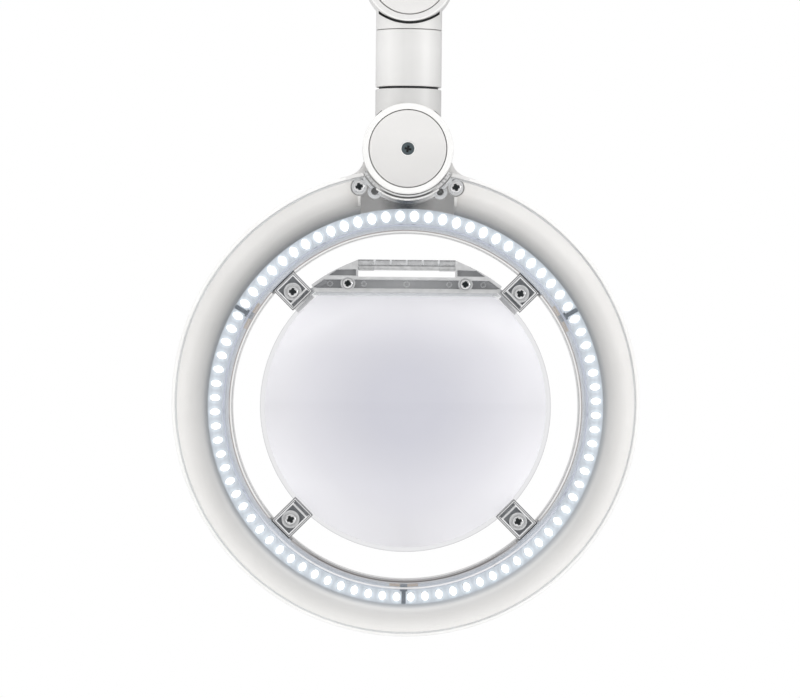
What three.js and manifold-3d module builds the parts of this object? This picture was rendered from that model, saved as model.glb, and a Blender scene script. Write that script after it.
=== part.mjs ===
// Magnifying lamp on a jointed arm, for close work at a bench or a table.
//
// Millimetres, +Z up. The origin is the middle of the clamp's jaw face, where it rests on the table.
// The lighted side of the head faces -Y, and the arm goes up from the clamp and over to +X.
// Every piece is drawn with the lens centre at zero, and the whole lamp is moved at the end.
import * as THREE from "three";
import { mergeVertices } from "three/addons/utils/BufferGeometryUtils.js";
import Module from "manifold-3d";

const wasm = await Module();
wasm.setup();

// ---------------------------------------------------------------- driving dimensions

const GAP = 0.3; // clearance between neighbouring pieces

// lens
const LENS_R = 63.5;
const LENS_SURFACE_R = 350;
const LENS_EDGE_HALF = 1.5;
const LENS_CHORD_Z = 51.4; // the lens is cut flat along its top

// lighted ring
const RING_INNER_R = 75.6;
const RING_OUTER_R = 101.6;
const RING_LIFT = 1.8; // the outer rim's centre sits above the lens centre
const RING_FRONT = -13;
const RING_BACK = 13;
const COVER_T = 1.1;
const COVER_OUTER_R = 99.9;
const BOARD_INNER_R = 78.6;
const BOARD_OUTER_R = 86.2;
const BOARD_FRONT = -5;
const BOARD_T = 1.2;
const LED_CIRCLE_R = 83;
const LEDS_PER_BOARD = 28;
const LED_PITCH = 360 / (3 * LEDS_PER_BOARD);
const COVE_INNER_R = 87.4;

// knuckles, all alike: a tongue between two cheeks on one cross bolt
const TONGUE_R = 19.9;
const TONGUE_HALF = 8.5;
const CHEEK_R = 19.7;
const CHEEK_INNER = 8.8;
const CHEEK_OUTER = 16;
const CHEEK_CUT_R = 20.3; // room for the tongue between the cheeks
const TONGUE_CUT_R = 20.4; // room for the cheeks beside the tongue
const CAP_R = 16.7;
const CAP_RECESS_R = 17.1;
const CAP_T = 2.5;
const CAP_HOLE_R = 2.8;
const BOLT_R = 2.8;
const HUB_CUT_R = 22.2; // the ring is scooped out this far round the head's knuckle

// neck and arms
const SWIVEL_Z = 112;
const NECK_R = 14.4;
const TWIST_Z = 139.3;
const SEAM_Z = 163.95;
const WRIST_Z = 187.2;
const SPIGOT_R = 12.9;
const ARM_LENGTH = 400;
const UPPER_ARM_RISE = 22; // degrees above horizontal
const LOWER_ARM_LENGTH = 420;
const LOWER_ARM_LEAN = 15; // degrees off vertical
const FITTING_R = 11.5;
const FITTING_REACH = 36;
const TUBE_R = 11;
const TUBE_BORE = 9.6;
const PLUG_R = 9.3;
const PLUG_LENGTH = 20;

// lens clips and the bracket along the lens's flat top
const CLIP_IN = 61.9;
const UPPER_CLIP_IN = 64.2; // the upper clips stop where the bracket begins
const CLIP_OUT = 76.5;
const CLIP_FRONT = -8;
const CLIP_BACK = -1.8;
const CLIP_SCREW_R = 70.1;
const SCREW_R = 1.2;
const SCREW_HOLE_R = 1.5;
const BRACKET_R = 67;
const BRACKET_FRONT = -8;
const BRACKET_BACK = -4.3;
const LID_PIN_Y = 8;
const LID_PIN_Z = 61;
const LID_R = 61.5;
const LID_CHORD_Z = 49.3;
const LID_T = 1.6;

// desk clamp
const JAW_FACE_Z = -160;
const JAW_MIDDLE_X = 10; // the jaw face's middle, from the post's axis
const JAW_T = 18;
const CLAMP_HALF_WIDTH = 18;
const CLAMP_FOOT_Z = -222;
const PAD_TOP_Z = -182;

// ---------------------------------------------------------------- geometry helpers

const rad = THREE.MathUtils.degToRad;
const ROUND = 20; // facets round a knuckle, a cap or a tube
const SMALL = 10; // facets round a screw or a small hole

// A closed three.js geometry, or a solid already made, as a solid with its faces pointing out.
function solid(shape) {
  if (!shape.isBufferGeometry) return shape;
  const bare = shape.index ? shape.toNonIndexed() : shape.clone();
  bare.deleteAttribute("normal");
  bare.deleteAttribute("uv");
  const merged = mergeVertices(bare, 1e-4);
  const corners = Array.from(merged.index.array);
  const build = (flip) => {
    const triangles = [];
    for (let i = 0; i < corners.length; i += 3) {
      const [a, b, c] = corners.slice(i, i + 3);
      if (a === b || b === c || c === a) continue;
      triangles.push(a, flip ? c : b, flip ? b : c);
    }
    return new wasm.Manifold(
      new wasm.Mesh({
        numProp: 3,
        vertProperties: merged.attributes.position.array,
        triVerts: new Uint32Array(triangles),
      }),
    );
  };
  const made = build(false);
  return made.volume() > 0 ? made : build(true);
}

function join(...shapes) {
  return shapes.map(solid).reduce((sum, next) => sum.add(next));
}

function cut(body, ...tools) {
  return tools.map(solid).reduce((left, tool) => left.subtract(tool), solid(body));
}

function common(a, b) {
  return solid(a).intersect(solid(b));
}

function toGeometry(body) {
  const mesh = body.getMesh();
  const geometry = new THREE.BufferGeometry();
  geometry.setAttribute("position", new THREE.BufferAttribute(mesh.vertProperties, 3));
  geometry.setIndex(new THREE.BufferAttribute(mesh.triVerts, 1));
  const flat = geometry.toNonIndexed();
  flat.computeVertexNormals();
  return flat;
}

// A closed profile of [radius, height] turned about Y. One that starts off the axis closes on itself.
function turned(profile, segments = ROUND) {
  const points = profile.map(([r, h]) => new THREE.Vector2(r, h));
  if (profile[0][0] > 0) points.push(points[0].clone());
  return new THREE.LatheGeometry(points, segments);
}

// The same about Z, with heights along +Z.
function turnedZ(profile, segments = ROUND) {
  return turned(profile, segments).rotateX(Math.PI / 2);
}

// A disc about Y between two Y levels, at (x, z).
function disc(r, y0, y1, x = 0, z = 0, segments = ROUND) {
  return turned([[0, y0], [r, y0], [r, y1], [0, y1]], segments).translate(x, 0, z);
}

// A rod about Z between two Z levels.
function rodZ(r, z0, z1, segments = ROUND) {
  return turnedZ([[0, z0], [r, z0], [r, z1], [0, z1]], segments);
}

// A rod about X between two X levels, at (y, z).
function rodX(r, x0, x1, y, z, segments = SMALL) {
  return turned([[0, x0], [r, x0], [r, x1], [0, x1]], segments)
    .rotateZ(-Math.PI / 2)
    .translate(0, y, z);
}

function block(x0, x1, y0, y1, z0, z1) {
  return new THREE.BoxGeometry(x1 - x0, y1 - y0, z1 - z0).translate(
    (x0 + x1) / 2,
    (y0 + y1) / 2,
    (z0 + z1) / 2,
  );
}

// An outline of [x, z] points, or a THREE.Shape in that plane, made solid between two Y levels.
function plate(outline, y0, y1, curveSegments = 12) {
  const isShape = outline instanceof THREE.Shape;
  const shape = isShape ? outline : new THREE.Shape(outline.map(([x, z]) => new THREE.Vector2(x, z)));
  const options = { depth: y1 - y0, bevelEnabled: false, curveSegments };
  return new THREE.ExtrudeGeometry(shape, options).rotateX(Math.PI / 2).translate(0, y1, 0);
}

// The outline mirrored in X.
function mirrored(outline) {
  return outline.map(([x, z]) => [-x, z]);
}

// How far a circle of the head at this radius is lifted: none at the lights, all of it at the outer rim.
function lift(radius) {
  const t = (radius - COVE_INNER_R) / (RING_OUTER_R - COVE_INNER_R);
  return RING_LIFT * Math.min(Math.max(t, 0), 1);
}

// A profile of [radius, y] turned about Y into a ring whose outer circles sit higher than its inner ones.
function ring(profile, segments = 40) {
  const geometry = turned(profile, segments);
  const at = geometry.attributes.position;
  for (let i = 0; i < at.count; i += 1) {
    at.setZ(i, at.getZ(i) + lift(Math.hypot(at.getX(i), at.getZ(i))));
  }
  return geometry;
}

// A box by radial, tangential and Y limits, turned to an angle from the top of the ring.
function radialBlock(angle, r0, r1, t0, t1, y0, y1) {
  return block(t0, t1, y0, y1, r0, r1).rotateY(rad(angle));
}

// The point at a radius and an angle from the top of the ring, as [x, z].
function polar(radius, angle) {
  return [radius * Math.sin(rad(angle)), radius * Math.cos(rad(angle))];
}

// ---------------------------------------------------------------- materials and pieces

function material(name, color, roughness, metalness = 0, opacity = 1) {
  const made = new THREE.MeshStandardMaterial({ color, roughness, metalness });
  made.name = name;
  made.transparent = opacity < 1;
  made.opacity = opacity;
  return made;
}

const housingWhite = () => material("white_housing", 0xebeae8, 0.45);
const capWhite = () => material("white_cap", 0xf1efec, 0.5);
const coveWhite = () => material("white_cove", 0xdcdcdf, 0.6);
const lidWhite = () => material("lid_white", 0xdedee3, 0.5);
const clear = () => material("clear_plastic", 0xe4e8ec, 0.12, 0, 0.35);
const optical = () => material("lens", 0xf2f5f8, 0.03, 0, 0.25);
const boardWhite = () => material("led_board", 0xd8dfe8, 0.5);
const circuit = () => material("circuit_board", 0x2f6b3a, 0.5);
const steel = () => material("screw_steel", 0xb9bbbd, 0.3, 1);
const darkSteel = () => material("dark_steel", 0x4a4e52, 0.35, 1);
const darkPlastic = () => material("dark_plastic", 0x3a3c40, 0.5);
const rubber = () => material("rubber", 0x2c2d2f, 0.85);
const armWhite = () => material("arm_white", 0xe9e8e6, 0.35);
const clampPaint = () => material("clamp_paint", 0xe2e1df, 0.4);

const lamp = new THREE.Group();

function piece(name, shape, look, parent = lamp) {
  const mesh = new THREE.Mesh(toGeometry(solid(shape)), look);
  mesh.name = name;
  parent.add(mesh);
  return mesh;
}

// ---------------------------------------------------------------- knuckle parts, centred on the origin

// Two cheeks on a stem along +Z, with a recess for a cap in each outer face.
function fork(stem) {
  const cheek = turned([
    [0, CHEEK_INNER],
    [CHEEK_R, CHEEK_INNER],
    [CHEEK_R, CHEEK_OUTER - 1],
    [CHEEK_R - 1, CHEEK_OUTER],
    [0, CHEEK_OUTER],
  ]);
  const other = cheek.clone().rotateZ(Math.PI);
  const recess = CHEEK_OUTER - CAP_T - GAP + 0.1;
  return cut(
    join(cheek, other, stem),
    disc(CHEEK_CUT_R, -CHEEK_INNER, CHEEK_INNER),
    disc(CAP_RECESS_R, recess, CHEEK_OUTER + 1),
    disc(CAP_RECESS_R, -CHEEK_OUTER - 1, -recess),
    disc(BOLT_R + GAP, -CHEEK_OUTER, CHEEK_OUTER, 0, 0, SMALL),
    disc(4.9, -CHEEK_OUTER, -10.5, 0, 0, 12),
    disc(5.3, 10.5, CHEEK_OUTER, 0, 0, 12),
  );
}

// A round tongue on a stem along +Z, the stem scooped out where the cheeks turn.
function tongue(stem) {
  const round = disc(TONGUE_R, -TONGUE_HALF, TONGUE_HALF);
  const scooped = cut(
    stem,
    disc(TONGUE_CUT_R, TONGUE_HALF, 30),
    disc(TONGUE_CUT_R, -30, -TONGUE_HALF),
  );
  return cut(join(round, scooped), disc(BOLT_R + GAP, -20, 20, 0, 0, SMALL));
}

// The rear cap is plain. The front one has a hole for the key that sets the knuckle's grip.
function cap(front) {
  const face = CHEEK_OUTER + 0.1;
  const inner = face - CAP_T;
  const domed = turned([
    [0, inner],
    [CAP_R, inner],
    [CAP_R - 0.2, face],
    [0, face],
  ]);
  if (!front) return solid(domed);
  return cut(domed.rotateZ(Math.PI), disc(CAP_HOLE_R, -face - 1, -inner + 1, 0, 0, 12));
}

// A socket screw with its hexagon socket in a head under the front cap.
function pivotBolt() {
  const turnedBolt = turned(
    [
      [0, -13.2],
      [4.6, -13.2],
      [4.6, -10.8],
      [BOLT_R, -10.8],
      [BOLT_R, 12.8],
      [0, 12.8],
    ],
    SMALL,
  );
  const socket = disc(1.9, -14, -11.6, 0, 0, 6);
  return cut(turnedBolt, socket);
}

function pivotNut() {
  return cut(disc(4.9, 10.8, 13.2, 0, 0, 6), disc(BOLT_R + GAP, 10, 14, 0, 0, SMALL));
}

// Caps, bolt and nut of one knuckle, added to a group centred on it.
function knuckleHardware(name, parent) {
  piece(name + "_cap_front", cap(true), capWhite(), parent);
  piece(name + "_cap_rear", cap(false), capWhite(), parent);
  piece(name + "_bolt", pivotBolt(), darkSteel(), parent);
  piece(name + "_nut", pivotNut(), steel(), parent);
}

// A straight fitting from a knuckle to an arm tube: a collar, then a plug inside the tube.
function armStem() {
  return turnedZ([
    [0, 0],
    [FITTING_R, 0],
    [FITTING_R, FITTING_REACH],
    [PLUG_R, FITTING_REACH],
    [PLUG_R, FITTING_REACH + PLUG_LENGTH],
    [0, FITTING_REACH + PLUG_LENGTH],
  ]);
}

function armTube(length) {
  const start = FITTING_REACH + GAP;
  const end = length - FITTING_REACH - GAP;
  return turnedZ([
    [TUBE_BORE, start],
    [TUBE_R, start],
    [TUBE_R, end],
    [TUBE_BORE, end],
  ]);
}

// ---------------------------------------------------------------- head

const CLIP_ANGLES = { upper_left: -45, upper_right: 45, lower_left: -135, lower_right: 135 };
const CLIP_REACH = {
  upper_left: [UPPER_CLIP_IN, -5, 6.3],
  upper_right: [UPPER_CLIP_IN, -6.3, 5],
  lower_left: [CLIP_IN, -5.5, 5.5],
  lower_right: [CLIP_IN, -5.5, 5.5],
};
const COVER_SCREWS = [[-21, 95.4], [21, 95.4]];
const COVER_PEGS = [[-14.2, 93.5], [14.2, 93.5]];
const BRACKET_SCREWS = [[-25.6, 53.4], [25.6, 53.4]];
const DRIVER_ANGLE = 26;
const BUTTON_ANGLE = 22;
const BUTTON_RADIUS = 89;

function housing() {
  const shell = ring([
    [99.4, -11.4],
    [100.2, -11.4],
    [100.2, RING_FRONT + 0.2],
    [101.1, RING_FRONT + 0.2],
    [RING_OUTER_R, RING_FRONT + 1],
    [RING_OUTER_R, 4],
    [100.4, 8],
    [97, 11.2],
    [92, 12.8],
    [80, RING_BACK],
    [76.2, 12.6],
    [RING_INNER_R, 11.4],
    [RING_INNER_R, -1.2],
    [77, -1.2],
    [77, 10.8],
    [81, 11],
    [81, BOARD_FRONT + BOARD_T + GAP],
    [82.2, BOARD_FRONT + BOARD_T + GAP],
    [82.2, 11],
    [91.6, 10.9],
    [95.9, 9.6],
    [98.4, 7],
    [99.4, 3.6],
  ]);
  // solid round the knuckle, where the tongue grows out of the ring
  const filled = ring([
    [RING_INNER_R + 5, -11.5],
    [100, -11.5],
    [101, 4],
    [97, 11],
    [92, 12.6],
    [RING_INNER_R + 5, 12.8],
  ]);
  const hub = common(filled, disc(HUB_CUT_R + 1.4, -12, 12.8, 0, SWIVEL_Z, 32));
  const eye = disc(TONGUE_R, -TONGUE_HALF, TONGUE_HALF, 0, SWIVEL_Z, 32);
  const web = [
    [14, 98],
    [25.5, 98.5],
    [24.5, 100.4],
    [21.7, 101.8],
    [20.2, 103.8],
    [19.4, 106.4],
    [16, 106],
  ];
  const seats = [
    ...COVER_SCREWS.map(([x, z]) => disc(3.35, -11.5, 10, x, z, SMALL)),
    ...COVER_PEGS.map(([x, z]) => disc(3.2, -10.4, 10, x, z, SMALL)),
  ];
  const lugs = Object.entries(CLIP_ANGLES).flatMap(([side, angle]) => {
    const lug = radialBlock(angle, 62.1, 76, -4.8, 4.8, 1.8, 6.4);
    const post = radialBlock(angle, 64.3, 76, -4.8, 4.8, -1.5, 2);
    return side.startsWith("lower") ? [lug, post] : [lug];
  });
  const posts = [1.8, 10.4].map((t) => radialBlock(DRIVER_ANGLE, 85, 88, t - 1.5, t + 1.5, 5.3, 11.5));
  const screwHoles = [
    ...COVER_SCREWS.map(([x, z]) => disc(SCREW_HOLE_R, -12, 0, x, z, SMALL)),
    ...COVER_PEGS.map(([x, z]) => disc(1.6, -12, -4, x, z, SMALL)),
    ...Object.values(CLIP_ANGLES).map((angle) => {
      const [x, z] = polar(CLIP_SCREW_R, angle);
      return disc(SCREW_HOLE_R, -3, 5.6, x, z, SMALL);
    }),
  ];
  const [buttonX, buttonZ] = polar(BUTTON_RADIUS, BUTTON_ANGLE);
  return cut(
    join(
      shell,
      hub,
      eye,
      plate(web, -TONGUE_HALF, TONGUE_HALF),
      plate(mirrored(web), -TONGUE_HALF, TONGUE_HALF),
      ...seats,
      ...lugs,
      ...posts,
    ),
    disc(HUB_CUT_R, -20, -CHEEK_INNER, 0, SWIVEL_Z, 32),
    disc(HUB_CUT_R, CHEEK_INNER, 20, 0, SWIVEL_Z, 32),
    disc(BOLT_R + GAP, -20, 20, 0, SWIVEL_Z, SMALL),
    disc(5.3, 8.6, 14, buttonX, buttonZ, 16),
    ...screwHoles,
  );
}

// The white cove round the lights, stopped by an upright rib each side of the knuckle.
function reflector() {
  const cove = ring([
    [COVE_INNER_R, -3.4],
    [89.5, -3.9],
    [92.8, -5.2],
    [96.2, -7.8],
    [98.9, -11.2],
    [99.1, -10.2],
    [97, -6.7],
    [93.4, -3.9],
    [89.8, -2.6],
    [COVE_INNER_R, -2.2],
  ]);
  const ribs = [-1, 1].map((side) =>
    block(Math.min(side * 20.4, side * 21.5), Math.max(side * 20.4, side * 21.5), -11, -2.4, 86.9, 91.4),
  );
  return cut(
    join(cut(cove, block(-20.4, 20.4, -15, 5, 60, 110)), ...ribs),
    disc(HUB_CUT_R + 1.8, -20, 20, 0, SWIVEL_Z, 32),
    ...COVER_SCREWS.map(([x, z]) => disc(3.8, -20, 20, x, z, SMALL)),
  );
}

// The clear front of the ring, with an inner wall that turns back towards the lens.
function frontCover() {
  const sheet = ring([
    [RING_INNER_R, RING_FRONT + 0.3],
    [RING_INNER_R + 0.3, RING_FRONT],
    [COVER_OUTER_R - 0.4, RING_FRONT],
    [COVER_OUTER_R, RING_FRONT + 0.4],
    [COVER_OUTER_R, RING_FRONT + COVER_T],
    [RING_INNER_R + 1.2, RING_FRONT + COVER_T],
    [RING_INNER_R + 1.2, -1.5],
    [RING_INNER_R, -1.5],
  ]);
  return cut(
    sheet,
    disc(HUB_CUT_R, -20, 0, 0, SWIVEL_Z, 32),
    ...COVER_SCREWS.map(([x, z]) => disc(SCREW_HOLE_R, -20, 0, x, z, SMALL)),
    ...Object.values(CLIP_ANGLES).map((angle) =>
      radialBlock(angle, 72, 77, -6.7, 6.7, CLIP_FRONT - 0.4, 0),
    ),
  );
}

// A third of the circle of lights: a curved board with its light-emitting diodes.
function ledBoard(start) {
  const from = start + 0.2;
  const to = start + 119.8;
  const shape = new THREE.Shape();
  // angles from the top turn clockwise in the x-z plane; shape arcs are measured from +x
  shape.absarc(0, 0, BOARD_OUTER_R, rad(90 - from), rad(90 - to), true);
  shape.absarc(0, 0, BOARD_INNER_R, rad(90 - to), rad(90 - from), false);
  const board = plate(shape, BOARD_FRONT, BOARD_FRONT + BOARD_T, 16);
  const leds = [];
  for (let i = 0; i < LEDS_PER_BOARD; i += 1) {
    const angle = start + (i + 0.5) * LED_PITCH;
    const half = 1.4;
    leds.push(
      radialBlock(
        angle,
        LED_CIRCLE_R - 1.75,
        LED_CIRCLE_R + 1.75,
        -half,
        half,
        BOARD_FRONT - 0.8,
        BOARD_FRONT + 0.2,
      ),
    );
  }
  return join(board, ...leds);
}

// Distance from the lens's middle plane to its surface at a radius.
function lensHalf(radius) {
  const sag = (r) => LENS_SURFACE_R - Math.sqrt(LENS_SURFACE_R ** 2 - r ** 2);
  return LENS_EDGE_HALF + sag(LENS_R) - sag(radius);
}

function lens() {
  const steps = [0, 25, 45, LENS_R];
  const back = steps.map((r) => [r, lensHalf(r)]);
  const front = steps.map((r) => [r, -lensHalf(r)]);
  const whole = turned([...front, ...back.reverse()], 40);
  return cut(whole, block(-70, 70, -20, 20, LENS_CHORD_Z, 70));
}

// A domed cover behind the lens, hung on two arms from the bracket's pin.
function lid() {
  const steps = [0, 25, 45, LID_R];
  const inner = steps.map((r) => [r, lensHalf(r) + 1]);
  const outer = steps.map((r) => [r, lensHalf(r) + 1 + LID_T]);
  outer[steps.length - 1][1] -= 0.4;
  const dome = cut(
    turned([...inner, ...outer.reverse()], 40),
    block(-70, 70, -5, 20, LID_CHORD_Z, 70),
  );
  const arms = [-1, 1].flatMap((side) => {
    const x0 = Math.min(side * 21.3, side * 23.8);
    const x1 = Math.max(side * 21.3, side * 23.8);
    return [
      block(x0, x1, 6.8, 9.4, 46, LID_PIN_Z),
      block(x0, x1, 4.9, 9.4, 45, 49.3),
      rodX(2, x0, x1, LID_PIN_Y, LID_PIN_Z),
    ];
  });
  return cut(join(dome, ...arms), rodX(1 + GAP, -30, 30, LID_PIN_Y, LID_PIN_Z));
}

// The clear bracket along the flat top of the lens, with the lid's hinge lugs behind its rail.
function lensBracket() {
  const rise = [38.2, 33, 27, 22].map((angle) => polar(BRACKET_R, angle));
  const fall = rise.map(([x, z]) => [-x, z]).reverse();
  const outline = [[-40, 49.6], [40, 49.6], ...rise, [21, 63.9], [-21, 63.9], ...fall];
  const beam = [
    [-38.3, LENS_CHORD_Z + GAP],
    [38.3, LENS_CHORD_Z + GAP],
    [40.4, 51.9],
    [33.9, 56.2],
    [-33.9, 56.2],
    [-40.4, 51.9],
  ];
  const ear = [
    [37.6, 51.6],
    [39.9, 50.4],
    [44.6, 46.4],
    [50.5, 44.8],
    [54.3, 48.6],
    [54.3, 50.5],
    [49.5, 54.8],
    [46.9, 54.5],
    [43, 50.6],
    [41.4, 51.4],
    [38.4, 53.2],
  ];
  const window = [
    [22, 56.8],
    [34, 56.8],
    [30.4, 59.3],
    [22, 59.5],
  ];
  const trough = [
    [-39, 51.3],
    [39, 51.3],
    [40.6, 51.6],
    [36, 55.1],
    [-36, 55.1],
    [-40.6, 51.6],
  ];
  const pads = BRACKET_SCREWS.map(([x, z]) => disc(3.2, BRACKET_FRONT - 2, -5, x, z, 12));
  const hollow = cut(plate(trough, BRACKET_FRONT - 1, BRACKET_FRONT + 2.2), ...pads);
  const hingeLugs = [-1, 1].map((side) =>
    block(Math.min(side * 14.4, side * 21), Math.max(side * 14.4, side * 21), -5, 10.2, 59.3, 63.9),
  );
  const grooves = [-14, -7, 0, 7, 14].map((x) =>
    block(x - 0.35, x + 0.35, BRACKET_FRONT - 1, BRACKET_FRONT + 1.6, 61.8, 65),
  );
  return cut(
    join(
      plate(outline, BRACKET_FRONT, BRACKET_BACK),
      plate(beam, BRACKET_BACK - 1, 4.3),
      plate(ear, -1.4, 1.4),
      plate(mirrored(ear), -1.4, 1.4),
      ...hingeLugs,
    ),
    block(-21.5, 21.5, -10, 5, 56.4, 59.3),
    plate(window, BRACKET_FRONT - 1, BRACKET_FRONT + 2.4),
    plate(mirrored(window), BRACKET_FRONT - 1, BRACKET_FRONT + 2.4),
    hollow,
    rodX(1 + GAP, -30, 30, LID_PIN_Y, LID_PIN_Z),
    ...grooves,
    ...BRACKET_SCREWS.map(([x, z]) => disc(SCREW_HOLE_R, -10, 6, x, z, SMALL)),
    ...BRACKET_SCREWS.map(([x, z]) => disc(2.7, -10, BRACKET_FRONT + 0.6, x, z, 16)),
    ...["upper_left", "upper_right"].map((side) => {
      const [x, z] = polar(CLIP_SCREW_R, CLIP_ANGLES[side]);
      return disc(SCREW_HOLE_R, -3, 3, x, z, SMALL);
    }),
  );
}

// The strip behind the lens's flat top that the bracket's screws pull up.
function lensRetainer() {
  const outline = [
    [-37, 49.9],
    [37, 49.9],
    [38.2, 51.5],
    [33, 55.8],
    [-33, 55.8],
    [-38.2, 51.5],
  ];
  return cut(
    plate(outline, 4.6, 6.3),
    ...BRACKET_SCREWS.map(([x, z]) => disc(SCREW_HOLE_R, 4, 7, x, z, SMALL)),
  );
}

// A clear clip with a pocket in its face and a round pad for its screw. It reaches sideways from t0 to t1.
function clip(angle, inner, t0, t1) {
  const [x, z] = polar(CLIP_SCREW_R, angle);
  const body = radialBlock(angle, inner, CLIP_OUT, t0, t1, CLIP_FRONT, CLIP_BACK);
  const [u0, u1] = [t0 + 1.7, t1 - 1.7];
  const [front, floor] = [CLIP_FRONT - 1, CLIP_FRONT + 3.4];
  const pocket = radialBlock(angle, inner + 3, CLIP_OUT - 1.6, u0, u1, front, floor);
  const slit = radialBlock(angle, inner + 1, inner + 2.2, u0, u1, front, floor - 0.8);
  const pad = disc(3.85, CLIP_FRONT + 1.2, CLIP_BACK - 0.5, x, z, 12);
  return cut(join(cut(body, pocket, slit), pad), disc(SCREW_HOLE_R, -10, 0, x, z, SMALL));
}

// A cross-head screw along Y with its head at y0 and its point at y1.
function screw(headR, y0, headT, y1) {
  const body = turned(
    [
      [0, y0],
      [headR - 0.5, y0],
      [headR, y0 + 0.5],
      [headR, y0 + headT],
      [SCREW_R, y0 + headT],
      [SCREW_R, y1],
      [0, y1],
    ],
    SMALL,
  );
  const slot = block(-1.4, 1.4, y0 - 1, y0 + 0.8, -0.3, 0.3);
  const crossSlot = block(-0.3, 0.3, y0 - 1, y0 + 0.8, -1.4, 1.4);
  return cut(body, slot, crossSlot);
}

piece("head_housing", housing(), housingWhite());
piece("reflector_ring", reflector(), coveWhite());
piece("clear_cover", frontCover(), clear());
piece("led_board_top", ledBoard(-60), boardWhite());
piece("led_board_right", ledBoard(60), boardWhite());
piece("led_board_left", ledBoard(180), boardWhite());
piece("magnifier_lens", lens(), optical());
piece("lens_bracket", lensBracket(), clear());
piece("lens_retainer", lensRetainer(), clear());
for (const [side, angle] of Object.entries(CLIP_ANGLES)) {
  const [x, z] = polar(CLIP_SCREW_R, angle);
  piece("clip_" + side, clip(angle, ...CLIP_REACH[side]), clear());
  const placed = piece("clip_screw_" + side, screw(2.6, -8.3, 1.2, 5.2), steel());
  placed.position.set(x, 0, z);
  placed.rotation.y = rad(20);
}
for (const [i, side] of ["left", "right"].entries()) {
  const holder = piece("bracket_screw_" + side, screw(2.3, -8.4, 0.7, 6), steel());
  holder.position.set(BRACKET_SCREWS[i][0], 0, BRACKET_SCREWS[i][1]);
  holder.rotation.y = rad(15);
  const cover = piece("cover_screw_" + side, screw(2.55, -14.3, 1, -1), steel());
  cover.position.set(COVER_SCREWS[i][0], 0, COVER_SCREWS[i][1]);
  cover.rotation.y = rad(-15);
}
piece("lid_hinge_pin", rodX(1, -24.2, 24.2, LID_PIN_Y, LID_PIN_Z), steel());
piece("lens_lid", lid(), lidWhite());

// The driver board carries the switch that the power button presses.
function driverBoard() {
  const [x, z] = polar(BUTTON_RADIUS, BUTTON_ANGLE);
  return join(
    radialBlock(DRIVER_ANGLE, 83.6, 94.6, -12, 12, 3.6, 5),
    disc(2.2, 4.8, 6.2, x, z, SMALL),
    radialBlock(DRIVER_ANGLE, 85, 93, 4, 11, 1.4, 3.8),
  );
}

// The push button in the back of the ring, kept in by its flange.
function powerButton() {
  const [x, z] = polar(BUTTON_RADIUS, BUTTON_ANGLE);
  return turned(
    [
      [0, 7.2],
      [1.6, 7.2],
      [1.6, 8.2],
      [5.7, 8.2],
      [5.7, 9.1],
      [5, 9.1],
      [5, 14.4],
      [0, 14.4],
    ],
    16,
  ).translate(x, 0, z);
}

piece("driver_board", driverBoard(), circuit());
piece("power_button", powerButton(), darkPlastic());

// ---------------------------------------------------------------- head knuckle and neck

const swivel = new THREE.Group();
swivel.position.z = SWIVEL_Z;
lamp.add(swivel);

// the lower neck: cheeks round the head's tongue, and a bore for the twist spigot
const TWIST_UP = TWIST_Z - SWIVEL_Z;
const BORE_FLOOR = TWIST_UP - 4.7;
piece(
  "swivel_fork",
  cut(fork(rodZ(NECK_R, 0, TWIST_UP)), rodZ(SPIGOT_R + GAP, BORE_FLOOR, TWIST_UP + 1)),
  housingWhite(),
  swivel,
);
knuckleHardware("swivel", swivel);

// the hollow spigot the neck turns on
piece(
  "twist_spigot",
  turnedZ(
    [
      [8, TWIST_Z - 4.4],
      [SPIGOT_R, TWIST_Z - 4.4],
      [SPIGOT_R, TWIST_Z + 10.4],
      [8, TWIST_Z + 10.4],
    ],
  ),
  darkPlastic(),
);

const SLEEVE_FLOOR = TWIST_Z + 1;
const SLEEVE_BORE = SPIGOT_R + GAP;
piece(
  "neck_sleeve",
  turnedZ(
    [
      [SLEEVE_BORE, SLEEVE_FLOOR],
      [NECK_R, SLEEVE_FLOOR],
      [NECK_R, SEAM_Z],
      [8, SEAM_Z],
      [8, TWIST_Z + 10.8],
      [SLEEVE_BORE, TWIST_Z + 10.8],
    ],
  ),
  housingWhite(),
);

const SADDLE_REACH = WRIST_Z - SEAM_Z - GAP;
const saddle = piece(
  "neck_saddle",
  tongue(
    turnedZ(
      [
        [0, 0],
        [NECK_R, 0],
        [NECK_R, SADDLE_REACH],
        [7.7, SADDLE_REACH],
        [7.7, SADDLE_REACH + 9],
        [0, SADDLE_REACH + 9],
      ],
    ),
  ),
  housingWhite(),
);
saddle.position.z = WRIST_Z;
saddle.rotation.y = Math.PI;

// ---------------------------------------------------------------- upper arm

const upperArm = new THREE.Group();
upperArm.position.z = WRIST_Z;
upperArm.rotation.y = rad(UPPER_ARM_RISE - 90);
lamp.add(upperArm);
piece("wrist_fork", fork(armStem()), housingWhite(), upperArm);
knuckleHardware("wrist", upperArm);
piece("upper_arm_tube", armTube(ARM_LENGTH), armWhite(), upperArm);
const elbowTongue = piece("elbow_tongue", tongue(armStem()), housingWhite(), upperArm);
elbowTongue.position.z = ARM_LENGTH;
elbowTongue.rotation.y = Math.PI;

// ---------------------------------------------------------------- lower arm

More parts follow.
